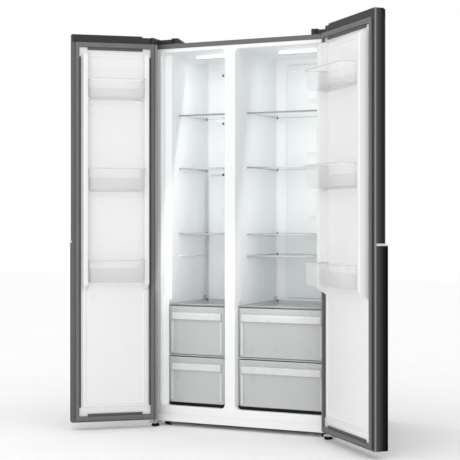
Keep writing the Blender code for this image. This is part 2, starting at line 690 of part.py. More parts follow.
def make_roller(model, name, at):
    half = ROLLER_W / 2
    tip = half + EAR_T + STUB_END
    edge = half - ROLLER_CHAMFER
    rim = ROLLER_R - ROLLER_CHAMFER
    profile = [(0, -tip), (STUB_R, -tip), (STUB_R, -half), (rim, -half)]
    profile += [(ROLLER_R, -edge), (ROLLER_R, edge), (rim, half)]
    profile += [(STUB_R, half), (STUB_R, tip), (0, tip)]
    bm = turned(profile, 32)
    bmesh.ops.rotate(bm, matrix=Matrix.Rotation(math.pi / 2, 3, "Y"), verts=bm.verts)
    model.piece(name, bm, "black_plastic", at=at)


def comb_outline(x, low, high, teeth):
    """Outline of a finned block: a spine along x at low, with teeth that rise to high."""
    spine = low + FIN_SPINE
    pitch = (x[1] - x[0] - FIN_T) / (teeth - 1)
    points = [(x[0], low), (x[1], low)]
    for i in reversed(range(teeth)):
        left = x[0] + i * pitch
        points += [(left + FIN_T, high), (left, high)]
        if i:
            points += [(left, spine), (left - pitch + FIN_T, spine)]
    return points


def make_fan(model, name, radius, depth, at, axis):
    """Axial fan: a hub with a bore for its pin, and blades set at an angle."""
    hub = prism(circle(0, 0, FAN_HUB_R, 24), "Z", (-depth / 2, depth / 2))
    turn = Matrix.Rotation(math.pi / 2, 3, "Y" if axis == "X" else "X")
    bmesh.ops.rotate(hub, matrix=turn, verts=hub.verts)
    fan = model.piece(name, hub, "black_plastic", at=at)
    for i in range(BLADES):
        around = 2 * math.pi * i / BLADES
        half_chord = BLADE_CHORD * radius / 2
        chord = (-half_chord, half_chord)
        blade = block((FAN_HUB_R * 0.8, radius), chord, (-BLADE_T / 2, BLADE_T / 2))
        pitch = math.asin(min(1.0, depth * BLADE_RISE / half_chord))
        bmesh.ops.rotate(blade, matrix=Matrix.Rotation(pitch, 3, "X"), verts=blade.verts)
        bmesh.ops.rotate(blade, matrix=Matrix.Rotation(around, 3, "Z"), verts=blade.verts)
        bmesh.ops.rotate(blade, matrix=turn, verts=blade.verts)
        model.join(fan, blade, at=at)
    bore = prism(circle(0, 0, FAN_PIN_R + TURN, 16), "Z", (-depth, depth))
    bmesh.ops.rotate(bore, matrix=turn, verts=bore.verts)
    model.cut(fan, bore, at=at)


def make_machines(model, pan):
    """Compressor, condenser and its fan on the base pan. The pan's bracket holds the fan's motor and pin."""
    middle_y = (BAY_FRONT + DEPTH) / 2
    foot = PAN_TOP + GAP
    corner = COMPRESSOR_CORNER
    past, plate_y, plate_h = COMPRESSOR_PLATE
    body = [(0, COMPRESSOR_LIFT), (COMPRESSOR_R * 0.80, COMPRESSOR_LIFT)]
    body += arc(COMPRESSOR_R - corner, COMPRESSOR_LIFT + corner, corner, -60, 0, 3)
    body += arc(COMPRESSOR_R - corner, COMPRESSOR_H - corner, corner, 0, 70, 4)
    body += [(0, COMPRESSOR_H)]
    at = (HALF * 0.52, middle_y, foot)
    compressor = model.piece("compressor", turned(body, 28), "compressor_black", at=at)
    reach = COMPRESSOR_R + past
    model.join(compressor, block((-reach, reach), (-plate_y, plate_y), (0, plate_h)), at=at)
    width, depth, height = CONDENSER
    left = -HALF + CONDENSER_INSET
    outline = comb_outline((left, left + width), foot, foot + height, FINS)
    span = (middle_y - depth / 2, middle_y + depth / 2)
    model.piece("condenser", prism(outline, "Y", span), "fin_aluminium")
    fan_x = left + width + BAY_FAN_GAP
    fan_z = foot + BAY_FAN_R + BAY_FAN_DEPTH
    motor = [fan_x + end for end in MOTOR]
    post_inset, post_y = MOTOR_POST
    post_x = (motor[0] + post_inset, motor[1] - post_inset)
    post = block(post_x, (middle_y - post_y, middle_y + post_y), (PAN_TOP - PAN_T / 2, fan_z))
    can = prism(circle(middle_y, fan_z, MOTOR_R, 20), "X", motor)
    pin_x = (fan_x - 0.8 * BAY_FAN_DEPTH, motor[0] + FAN_PIN_R)
    pin = prism(circle(middle_y, fan_z, FAN_PIN_R, 16), "X", pin_x)
    model.join(pan, post, can, pin)
    make_fan(model, "condenser_fan", BAY_FAN_R, BAY_FAN_DEPTH, (fan_x, middle_y, fan_z), "X")


def make_cabinet(model):
    make_shell(model)
    make_front_frame(model)
    make_foam(model)
    make_back(model)
    make_base(model)


# ---------------------------------------------------------------- hinges and feet


def arm_outline(half_width, back):
    """A straight arm from y = back to the pin, with a round end about the pin. The pin is at the origin."""
    return [(half_width, back), (-half_width, back), *arc(0, 0, half_width, 180, 360, 10)]


def make_top_hinge(model, side, hand):
    at = (-hand * PIN_X, PIN_Y, 0)
    plate_z = (TOP + TOP_HINGE_LIFT, TOP + TOP_HINGE_LIFT + HINGE_PLATE)
    width, front, back = COVER_BLOCK
    outer = PIN_INSET - COVER_SIDE
    block_x = (-outer, width - outer)
    block_y = (front - PIN_Y, back - PIN_Y)
    inner_x = (block_x[0] + COVER_T, block_x[1] - COVER_T)
    inner_y = (block_y[0] + COVER_T, block_y[1] - COVER_T)
    base_x = (inner_x[0] + COVER_ROOM, inner_x[1] - COVER_ROOM)
    base_y = (inner_y[0] + COVER_ROOM, inner_y[1] - COVER_ROOM)
    small, large = COVER_R
    radii = (small, large, large, small)
    arm = prism(arm_outline(HINGE_ARM, base_y[0] + ARM_ROOT), "Z", plate_z)
    hinge = model.piece(f"top_hinge_{side}", arm, "zinc_steel", at=at, hand=hand)
    model.join(hinge, prism(rounded(base_x, base_y, radii), "Z", plate_z), hand=hand, at=at)
    pin = prism(circle(0, 0, PIN_R), "Z", (CAP_Z - PIN_ENGAGE, plate_z[0] + HINGE_PLATE / 2))
    model.join(hinge, pin, hand=hand, at=at)
    cover_z = (TOP + GAP, TOP + COVER_H)
    outside = prism(rounded(block_x, block_y, radii), "Z", cover_z)
    cover = model.piece(f"hinge_cover_{side}", outside, "dark_plastic", at=at, hand=hand)
    model.join(cover, prism(arm_outline(NOSE_R, block_y[0] + ARM_ROOT), "Z", cover_z), hand=hand, at=at)
    hollow_z = (cover_z[0] - CUT, cover_z[1] - COVER_T)
    inner_radii = [radius - COVER_T for radius in radii]
    hollow = prism(rounded(inner_x, inner_y, inner_radii), "Z", hollow_z)
    tunnel = prism(arm_outline(NOSE_R - COVER_T, inner_y[0] + ARM_ROOT), "Z", hollow_z)
    model.cut(cover, hollow, tunnel, hand=hand, at=at)


def make_bottom_hinge(model, side, hand):
    at = (-hand * PIN_X, PIN_Y, 0)
    top = BOTTOM - GAP
    plate_z = (top - HINGE_PLATE, top)
    foot_x, foot_y = FOOT_OFFSET
    plate_x = (COVER_SIDE - PIN_INSET, foot_x + FOOT_R - FOOT_PLATE_EDGE)
    plate_y = (FOOT_PLATE_EDGE - PIN_INSET, FOOT_PLATE_REACH - PIN_Y)
    radii = (FOOT_PLATE_R, FOOT_PLATE_R, FOOT_PLATE_EDGE, FOOT_PLATE_EDGE)
    plate = prism(rounded(plate_x, plate_y, radii), "Z", plate_z)
    hinge = model.piece(f"bottom_hinge_{side}", plate, "zinc_steel", at=at, hand=hand)
    root = plate_z[0] + HINGE_PLATE / 2
    spacer = prism(circle(0, 0, SPACER_R), "Z", (plate_z[0] + HINGE_PLATE / 4, DOOR_BOTTOM - COLLAR_GAP))
    pin = prism(circle(0, 0, PIN_R), "Z", (root, DOOR_BOTTOM + PIN_ENGAGE))
    model.join(hinge, spacer, pin, hand=hand, at=at)
    hole = circle(foot_x, foot_y, STUD_R + TURN, 16)
    model.cut(hinge, prism(hole, "Z", (plate_z[0] - CUT, plate_z[1] + CUT)), hand=hand, at=at)
    stud_top = DOOR_BOTTOM - STUD_DROP
    collar = plate_z[0] - COLLAR_GAP
    neck = FOOT_R - FOOT_NECK
    profile = [(0, 0), (FOOT_R - FOOT_CHAMFER, 0), (FOOT_R, FOOT_CHAMFER), (FOOT_R, FOOT_H - FOOT_CHAMFER)]
    profile += [(FOOT_R - 1.5 * FOOT_CHAMFER, FOOT_H), (neck, FOOT_H), (neck, collar)]
    profile += [(STUD_R, collar), (STUD_R, stud_top), (0, stud_top)]
    place = (at[0] + hand * foot_x, at[1] + foot_y, 0)
    model.piece(f"levelling_foot_{side}", turned(profile, 28), "black_plastic", at=place)


# ---------------------------------------------------------------- doors


def grip_outline(edge, grow=0.0):
    """Section of the finger groove in a door's free edge, hooked behind the front panel."""
    front = -DOOR_T / 2
    floor = front + GRIP_DEPTH
    inner = edge - GRIP_W
    hook = inner - GRIP_HOOK
    groove = [
        (inner, front - CUT),
        (edge + CUT, front - CUT),
        (edge + CUT, floor),
        (inner - GRIP_HOOK / 4, floor),
        (hook, floor - GRIP_HOOK / 2),
        (hook, front + GRIP_LIP[1]),
        (inner, front + GRIP_LIP[0]),
    ]
    return offset(groove, grow)


def dike_outline(shrink=0.0):
    """Side view of a dike: sloped foot, straight front, round top."""
    low = FACE - LINER_FLANGE / 2
    out = FACE + DIKE_OUT
    outline = [(low, DIKE_FOOT), (out, DIKE_FOOT + DIKE_SLOPE)]
    outline += arc(out - DIKE_R, DIKE_TOP - DIKE_R, DIKE_R, 0, 90, 6)
    outline += [(low, DIKE_TOP)]
    moved = offset(outline, -shrink)
    deep = low - CUT if shrink else low
    return [(deep, moved[0][1]), *moved[1:-1], (deep, moved[-1][1])]


def dike_spans(edge, shrink=0.0):
    """Where a door's two dikes lie across its width."""
    hinge_side = DIKE_INSET - PIN_INSET
    near = (hinge_side + shrink, hinge_side + DIKE_W - shrink)
    far = (edge - DIKE_INSET - DIKE_W + shrink, edge - DIKE_INSET - shrink)
    return near, far


def dike(span, shrink=0.0):
    """A dike, or with shrink what lies inside it."""
    bm = prism(dike_outline(shrink), "X", span)
    out = FACE + DIKE_OUT - shrink
    for x, side in ((span[0], -1), (span[1], 1)):
        plane = Vector((side, 1.0, 0.0)).normalized()
        cut = bmesh.ops.bisect_plane(
            bm,
            geom=bm.verts[:] + bm.edges[:] + bm.faces[:],
            plane_co=(x, out - DIKE_CHAMFER + DIKE_SKEW * shrink, 0),
            plane_no=plane,
            clear_outer=True,
        )
        rim = [found for found in cut["geom_cut"] if isinstance(found, bmesh.types.BMEdge)]
        bmesh.ops.contextual_create(bm, geom=rim)
    return bm


def bin_floors():
    return [DIKE_FOOT + share * (DIKE_TOP - DIKE_FOOT) for share in BIN_LEVELS]


def make_door_skin(model, side, pin, hand, edge):
    x = (-PIN_INSET, edge)
    y = (-DOOR_T / 2, DOOR_T / 2)
    z = (DOOR_BOTTOM, CAP_Z - GAP)
    skin = model.piece(f"door_skin_{side}", block(x, y, z), "dark_steel", pin, hand=hand)
    grip_z = (GRIP_BOTTOM, z[1] + CUT)
    model.cut(skin, prism(grip_outline(edge), "Z", grip_z), hand=hand)
    void = model.piece(
        f"door_skin_{side}_void",
        block(
            (x[0] + STEEL, x[1] - STEEL), (y[0] + STEEL, y[1] - STEEL), (z[0] + STEEL, z[1] + CUT)
        ),
        None,
        pin,
        hand=hand,
    )
    wall = prism(grip_outline(edge, STEEL), "Z", (GRIP_BOTTOM - STEEL, z[1] + 2 * CUT))
    model.cut(void, wall, hand=hand)
    model.use(skin, "DIFFERENCE", void)
    window = block((x[0] + SKIN_LIP, x[1] - SKIN_LIP), (0, y[1] + CUT), (z[0] + SKIN_SILL, z[1] + CUT))
    keep = model.piece(f"door_skin_{side}_window", window, None, pin, hand=hand)
    behind = block(
        (x[0] - CUT, x[1] + CUT), (-CUT, y[1] - 2 * STEEL), (z[0] - CUT, z[1] + 2 * CUT)
    )
    model.cut(keep, behind, hand=hand)
    model.use(skin, "DIFFERENCE", keep)
    pin_hole = prism(circle(0, 0, PIN_R + TURN), "Z", (z[0] - CUT, z[0] + CUT))
    model.cut(skin, pin_hole, hand=hand)


def make_door_foam(model, side, pin, hand, edge):
    inset = STEEL + GAP
    x = (-PIN_INSET + inset, edge - inset)
    y = (-DOOR_T / 2 + inset, FACE - LINER_FLANGE - GAP)
    z = (DOOR_BOTTOM + inset, CAP_Z - GAP)
    foam = model.piece(f"door_foam_{side}", block(x, y, z), "foam", pin, hand=hand)
    groove = prism(grip_outline(edge, inset), "Z", (GRIP_BOTTOM - inset, z[1] + CUT))
    model.cut(foam, groove, hand=hand)
    for span in dike_spans(edge, LINER_FLANGE + GAP):
        model.join(foam, dike(span, LINER_FLANGE + GAP), hand=hand)
    pocket = PIN_R + TURN
    low = (z[0] - CUT, DOOR_BOTTOM + PIN_ENGAGE + 0.002)
    high = (CAP_Z - PIN_ENGAGE - 0.002, z[1] + CUT)
    for span in (low, high):
        model.cut(foam, prism(circle(0, 0, pocket), "Z", span), hand=hand)


def make_door_liner(model, side, pin, hand, edge):
    """Moulded inner panel with its two dikes, hollow behind, and a lug on each side under each bin."""
    x = (-PIN_INSET + SKIN_LIP + GAP, edge - SKIN_LIP - GAP)
    y = (FACE - LINER_FLANGE, FACE)
    z = (DOOR_BOTTOM + SKIN_SILL + GAP, CAP_Z - GAP)
    liner = model.piece(f"door_liner_{side}", block(x, y, z), "white_liner", pin, hand=hand)
    for span in dike_spans(edge):
        model.join(liner, dike(span), hand=hand)
    for span in dike_spans(edge, LINER_FLANGE):
        model.cut(liner, dike(span, LINER_FLANGE), hand=hand)
    out, deep, high = LUG
    near, far = dike_spans(edge)
    for floor in bin_floors():
        lug_y = (FACE + DIKE_OUT - deep - LUG_INSET, FACE + DIKE_OUT - LUG_INSET)
        lug_z = (floor - GAP - high, floor - GAP)
        root = LINER_FLANGE / 2
        model.join(liner, block((near[1] - root, near[1] + out), lug_y, lug_z), hand=hand)
        model.join(liner, block((far[0] - out, far[0] + root), lug_y, lug_z), hand=hand)


def make_gasket(model, side, pin, hand, edge):
    x = (-PIN_INSET + GASKET_INSET, edge - GASKET_INSET)
    z = (DOOR_BOTTOM + GASKET_FOOT, CAP_Z - GAP)
    y = (FACE + GAP, FACE + GASKET_T)
    ring = prism(rounded(x, z, (GASKET_R[0],) * 4, 2), "Y", y)
    gasket = model.piece(f"door_gasket_{side}", ring, "grey_rubber", pin, hand=hand)
    inner_x = (x[0] + GASKET_W, x[1] - GASKET_W)
    inner_z = (z[0] + GASKET_BOTTOM_W, z[1] - GASKET_TOP_W)
    hole = rounded(inner_x, inner_z, (GASKET_R[1],) * 4, 2)
    model.cut(gasket, prism(hole, "Y", (0, y[1] + CUT)), hand=hand)


def make_door_cap(model, side, pin, hand, edge):
    """Plastic cap on the door's top, lower round the pin to clear the hinge's arm and its cover."""
    y = (-DOOR_T / 2, DOOR_T / 2)
    cap = model.piece(
        f"door_cap_{side}", block((-PIN_INSET, edge), y, (CAP_Z, DOOR_TOP)), "dark_plastic", pin, hand=hand
    )
    notch_z = (TOP - NOTCH_CLEARANCE, DOOR_TOP + CUT)
    notch = block((-PIN_INSET - CUT, NOSE_R + SLIDE), (y[0] - CUT, y[1] + CUT), notch_z)
    bush = prism(circle(0, 0, PIN_R + TURN), "Z", (CAP_Z - CUT, DOOR_TOP + CUT))
    reach, drop = CAP_STEP
    step = block((0, reach), (y[0] - CUT, y[1] + CUT), (DOOR_TOP - drop, DOOR_TOP + CUT))
    groove = prism(grip_outline(edge), "Z", (CAP_Z - CUT, DOOR_TOP + CUT))
    model.cut(cap, notch, step, bush, groove, hand=hand)


def make_bins(model, side, pin, hand, edge):
    hinge_inset = max(BIN_INSET, WALL_INSETS[side] + BIN_WALL_CLEARANCE)
    x = (hinge_inset - PIN_INSET, edge - BIN_INSET)
    y = (FACE + SLIDE, FACE + BIN_OUT)
    outer = rounded(x, y, (BIN_BACK_R, BIN_BACK_R, BIN_R, BIN_R))
    inner = offset(outer, -BIN_WALL)
    for level, floor, height in zip(BIN_NAMES, bin_floors(), BIN_HEIGHTS):
        name = f"door_bin_{side}_{level}"
        top = floor + height
        made = model.piece(name, prism(outer, "Z", (floor, top)), "clear_plastic", pin, hand=hand)
        model.cut(made, prism(inner, "Z", (floor + BIN_WALL, top + CUT)), hand=hand)


def make_door(model, side, hand, width, opened):
    """A door built closed, in its pin's own axes, under an empty on the pin that swings it open."""
    pin = model.empty(f"{side}_door_pin", (-hand * PIN_X, PIN_Y, 0), model.root, -hand * opened)
    edge = width - PIN_INSET
    make_door_skin(model, side, pin, hand, edge)
    make_door_foam(model, side, pin, hand, edge)
    make_door_liner(model, side, pin, hand, edge)
    make_gasket(model, side, pin, hand, edge)
    make_door_cap(model, side, pin, hand, edge)
    make_bins(model, side, pin, hand, edge)


# ---------------------------------------------------------------- the whole object


def place_origin(model):
    """Moves the object so that the middle of its bounding box lies over the origin, and its feet at z = 0."""
    bpy.context.view_layer.update()
    graph = bpy.context.evaluated_depsgraph_get()
    corners = []
    for found in bpy.context.scene.objects:
        if found.type == "MESH" and not found.hide_render:
            evaluated = found.evaluated_get(graph)
            corners += [evaluated.matrix_world @ v.co for v in evaluated.data.vertices]
    for k in range(2):
        low = min(corner[k] for corner in corners)
        high = max(corner[k] for corner in corners)
        model.root.location[k] = -(low + high) / 2
    model.root.location.z = -min(corner.z for corner in corners)


def main():
    for found in list(bpy.data.objects):
        bpy.data.objects.remove(found, do_unlink=True)
    model = Model()
    make_cabinet(model)
    make_interior(model)
    for side, hand in (("left", 1), ("right", -1)):
        make_top_hinge(model, side, hand)
        make_bottom_hinge(model, side, hand)
    make_door(model, "left", 1, LEFT_DOOR_W, LEFT_OPEN)
    make_door(model, "right", -1, RIGHT_DOOR_W, RIGHT_OPEN)
    place_origin(model)


main()
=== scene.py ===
"""The looks of a side by side refrigerator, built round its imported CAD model.

Metres, in the CAD model's own frame: +Z up, the front of the cabinet faces -Y. The doors' pieces are built as
for a closed door, with the hinge pin at the origin and x running to the free edge, and are then swung open.
"""

import json
import math

import bmesh
import bpy
from mathutils import Matrix, Vector


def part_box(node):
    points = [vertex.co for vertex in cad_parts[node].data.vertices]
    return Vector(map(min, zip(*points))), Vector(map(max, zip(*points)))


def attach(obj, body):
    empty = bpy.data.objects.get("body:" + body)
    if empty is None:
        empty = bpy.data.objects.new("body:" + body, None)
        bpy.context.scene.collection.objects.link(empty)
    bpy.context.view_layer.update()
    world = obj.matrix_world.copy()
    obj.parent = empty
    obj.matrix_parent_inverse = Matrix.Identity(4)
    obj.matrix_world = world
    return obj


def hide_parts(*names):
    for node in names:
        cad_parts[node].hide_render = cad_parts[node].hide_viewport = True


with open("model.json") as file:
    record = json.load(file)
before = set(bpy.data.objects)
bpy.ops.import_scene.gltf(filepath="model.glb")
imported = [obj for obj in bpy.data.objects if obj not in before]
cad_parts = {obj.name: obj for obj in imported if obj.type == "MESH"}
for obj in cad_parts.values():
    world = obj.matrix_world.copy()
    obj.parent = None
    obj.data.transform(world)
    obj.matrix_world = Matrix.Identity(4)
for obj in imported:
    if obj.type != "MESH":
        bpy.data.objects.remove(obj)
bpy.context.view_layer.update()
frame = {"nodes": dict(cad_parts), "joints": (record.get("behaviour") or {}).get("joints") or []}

# Sizes that the CAD nodes' boxes don't give
LINER_T = 0.0025
CORNER_R = 0.018  # the compartments' inner corners
MOUTH_R = 0.022
LIP_W = 0.010  # raised lip round each compartment's mouth
LIP_OUT = 0.0010
MOUTH_DEPTH = 0.040
DRAWER_MOUTH_DEPTH = 0.012
DRAWER_ZONE_RISE = 0.013
MOUTH_SLANT = 0.012
SHELF_SIDE = 0.001
GLASS = 0.004
TRIM_D = 0.006
RAIL_OUT = 0.006
RAIL_H = 0.007
EMPTY_RAIL_TOP = 0.7853  # where a shelf on the freezer's empty rails would have its top
DRAWER_CLEARANCE = 0.005

DOOR_T = 0.060
FACE = DOOR_T / 2
PIN_INSET = 0.018
GASKET_INSET = 0.016
GASKET_SIDE_W = 0.024
GASKET_TOP_W = 0.034
GASKET_BOTTOM_W = 0.031
DIKE_INSET = 0.046
DIKE_W = 0.0215
DIKE_OUT = 0.045
DIKE_FOOT = 0.625
DIKE_SLOPE = 0.030
DIKE_TOP_DROP = 0.045  # from the door's liner top to the dikes' tops
DIKE_R = 0.030
BIN_WALL = 0.0022
GRIP_BOTTOM = 0.850
GRIP_DEPTH = 0.018
LEVELS = ("top", "middle", "bottom")

NOISE_LOW, NOISE_HIGH = 0.3, 0.7  # the part of a noise texture's range that shows


# -------- materials


class Nodes:
    """Short names for building a material's nodes."""

    def __init__(self, name):
        self.made = bpy.data.materials.new(name)
        self.made.use_nodes = True
        self.tree = self.made.node_tree
        self.shader = self.tree.nodes["Principled BSDF"]
        self.place = self.add("ShaderNodeTexCoord").outputs["Object"]

    def add(self, kind, **values):
        node = self.tree.nodes.new(kind)
        for key, value in values.items():
            setattr(node, key, value)
        return node

    def link(self, output, target):
        self.tree.links.new(output, target)

    def scaled(self, scale):
        mapping = self.add("ShaderNodeMapping")
        mapping.inputs["Scale"].default_value = scale
        self.link(self.place, mapping.inputs["Vector"])
        return mapping.outputs["Vector"]

    def noise(self, scale, detail=3.0, rough=0.5):
        node = self.add("ShaderNodeTexNoise")
        node.inputs["Scale"].default_value = 1.0
        node.inputs["Detail"].default_value = detail
        node.inputs["Roughness"].default_value = rough
        self.link(self.scaled(scale), node.inputs["Vector"])
        return node.outputs["Fac"]

    def cells(self, scale):
        node = self.add("ShaderNodeTexVoronoi")
        node.inputs["Scale"].default_value = 1.0
        self.link(self.scaled(scale), node.inputs["Vector"])
        return node.outputs["Distance"]

    def roughness(self, value, low, high):
        node = self.add("ShaderNodeMapRange")
        node.inputs["From Min"].default_value = NOISE_LOW
        node.inputs["From Max"].default_value = NOISE_HIGH
        node.inputs["To Min"].default_value = low
        node.inputs["To Max"].default_value = high
        self.link(value, node.inputs["Value"])
        self.link(node.outputs["Result"], self.shader.inputs["Roughness"])

    def colours(self, value, first, last, *between):
        """Base colour along value. Each stop is a position and a colour."""
        node = self.add("ShaderNodeValToRGB")
        stops = node.color_ramp.elements
        for stop, (position, colour) in zip(stops, (first, last)):
            stop.position = position
            stop.color = (*colour, 1.0)
        for position, colour in between:
            stops.new(position).color = (*colour, 1.0)
        self.link(value, node.inputs["Fac"])
        self.link(node.outputs["Color"], self.shader.inputs["Base Color"])

    def mottled(self, value, colour, dark, light):
        """Base colour that varies with value between two factors of the colour."""
        self.colours(value, (NOISE_LOW, shade(colour, dark)), (NOISE_HIGH, shade(colour, light)))

    def bump(self, value, distance):
        node = self.add("ShaderNodeBump")
        node.inputs["Strength"].default_value = 1.0
        node.inputs["Distance"].default_value = distance
        self.link(value, node.inputs["Height"])
        self.link(node.outputs["Normal"], self.shader.inputs["Normal"])

    def set(self, **values):
        for key, value in values.items():
            self.shader.inputs[key.replace("_", " ").title().replace("Ior", "IOR")].default_value = value


def even(value):
    return (value, value, value)


def shade(colour, factor):
    return tuple(min(1.0, c * factor) for c in colour)


def brushed(name, colour, rough, grain=(900.0, 900.0, 5.0), variation=0.10):
    """Brushed steel under a clear lacquer, its grain along Z unless told otherwise."""
    nodes = Nodes(name)
    fine = nodes.noise(grain, 4.0, 0.6)
    broad = nodes.noise((3.0, 3.0, 1.5), 2.0)
    nodes.mottled(fine, colour, 1 - variation, 1 + variation)
    nodes.roughness(broad, rough - 0.04, rough + 0.05)
    nodes.bump(fine, 0.00003)
    nodes.set(metallic=0.85, coat_weight=0.15, coat_roughness=0.25)
    return nodes.made


def moulded(name, colour, rough, grain=1400.0, depth=0.00004, variation=0.03, coat=0.0, gloss=0.5):
    """Moulded plastic with a fine spark-eroded texture and slight flow marks."""
    nodes = Nodes(name)
    fine = nodes.noise(even(grain), 2.0, 0.6)
    broad = nodes.noise((6.0, 6.0, 2.5), 3.0)
    nodes.mottled(broad, colour, 1 - variation, 1 + variation)
    nodes.roughness(fine, rough - 0.05, rough + 0.05)
    nodes.bump(fine, depth)
    nodes.set(coat_weight=coat, coat_roughness=0.15, specular_ior_level=gloss)
    return nodes.made


def vacuum_formed(name, colour, rough):
    """Vacuum-formed sheet: glossy, with a faint orange peel where it was drawn over the mould."""
    nodes = Nodes(name)
    peel = nodes.noise(even(160.0), 2.0, 0.5)
    draw = nodes.noise((4.0, 4.0, 1.2), 3.0)
    nodes.mottled(draw, colour, 0.985, 1.015)
    nodes.roughness(peel, rough - 0.04, rough + 0.04)
    nodes.bump(peel, 0.00006)
    return nodes.made


def translucent(name, colour, alpha, rough, depth=0.00005):
    """See-through plastic: alpha is uniform, and its colour and gloss vary with the moulding's flow."""
    nodes = Nodes(name)
    flow = nodes.noise((9.0, 9.0, 4.0), 3.0)
    fine = nodes.noise(even(900.0), 2.0)
    nodes.mottled(flow, colour, 0.975, 1.02)
    nodes.roughness(flow, rough - 0.04, rough + 0.05)
    nodes.bump(fine, depth)
    nodes.set(alpha=alpha)
    return nodes.made


def zinc(name, colour):
    """Zinc-plated sheet with its large crystals."""
    nodes = Nodes(name)
    cells = nodes.cells(even(130.0))
    grain = nodes.noise(even(700.0), 3.0)
    nodes.mottled(cells, colour, 0.86, 1.08)
    nodes.roughness(grain, 0.28, 0.46)
    nodes.bump(grain, 0.00003)
    nodes.set(metallic=0.95)
    return nodes.made


def rubber(name, colour):
    nodes = Nodes(name)
    fine = nodes.noise(even(1500.0), 2.0)
    dust = nodes.noise((14.0, 14.0, 5.0), 4.0)
    nodes.mottled(dust, colour, 0.93, 1.08)
    nodes.roughness(fine, 0.50, 0.64)
    nodes.bump(fine, 0.00005)
    return nodes.made


def foamed(name, colour):
    nodes = Nodes(name)
    cells = nodes.cells(even(420.0))
    nodes.mottled(cells, colour, 0.82, 1.08)
    nodes.bump(cells, 0.0004)
    nodes.set(roughness=0.92)
    return nodes.made


def lit(name, strength):
    """Lamp lens: it glows evenly, and its plastic is slightly cloudy."""
    nodes = Nodes(name)
    patches = nodes.noise((60.0, 20.0, 20.0), 1.0)
    nodes.colours(patches, (NOISE_LOW, (0.92, 0.95, 0.98)), (NOISE_HIGH, (1.0, 1.0, 1.0)))
    nodes.shader.inputs["Emission Color"].default_value = (0.97, 0.985, 1.0, 1.0)
    nodes.shader.inputs["Emission Strength"].default_value = strength
    nodes.set(roughness=0.3)
    return nodes.made


def painted_shade_steel(name, axis, start, reach):
    """Brushed steel with painted shade: its colour darkens along axis, from start over reach, standing in for
    the studio's reflection fading across the door's edge.
    """
    nodes = Nodes(name)
    along = nodes.add("ShaderNodeVectorMath", operation="DOT_PRODUCT")
    along.inputs[1].default_value = axis
    nodes.link(nodes.place, along.inputs[0])
    share = nodes.add("ShaderNodeMapRange")
    share.inputs["From Min"].default_value = start
    share.inputs["From Max"].default_value = start + reach
    nodes.link(along.outputs["Value"], share.inputs["Value"])
    fine = nodes.noise((900.0, 900.0, 5.0), 4.0, 0.6)
    mixed = nodes.add("ShaderNodeMath", operation="MULTIPLY_ADD")
    mixed.inputs[1].default_value = 0.12
    nodes.link(fine, mixed.inputs[0])
    nodes.link(share.outputs["Result"], mixed.inputs[2])
    # The ramp from dark grey to near black is painted shade, standing in for the studio's reflection fading
    # across the edge.
    inner, middle, outer = (0.0, (0.080, 0.080, 0.081)), (0.62, even(0.016)), (1.0, even(0.002))
    nodes.colours(mixed.outputs["Value"], inner, outer, middle)
    nodes.bump(fine, 0.00003)
    nodes.set(roughness=0.5, specular_ior_level=0.0)
    return nodes.made


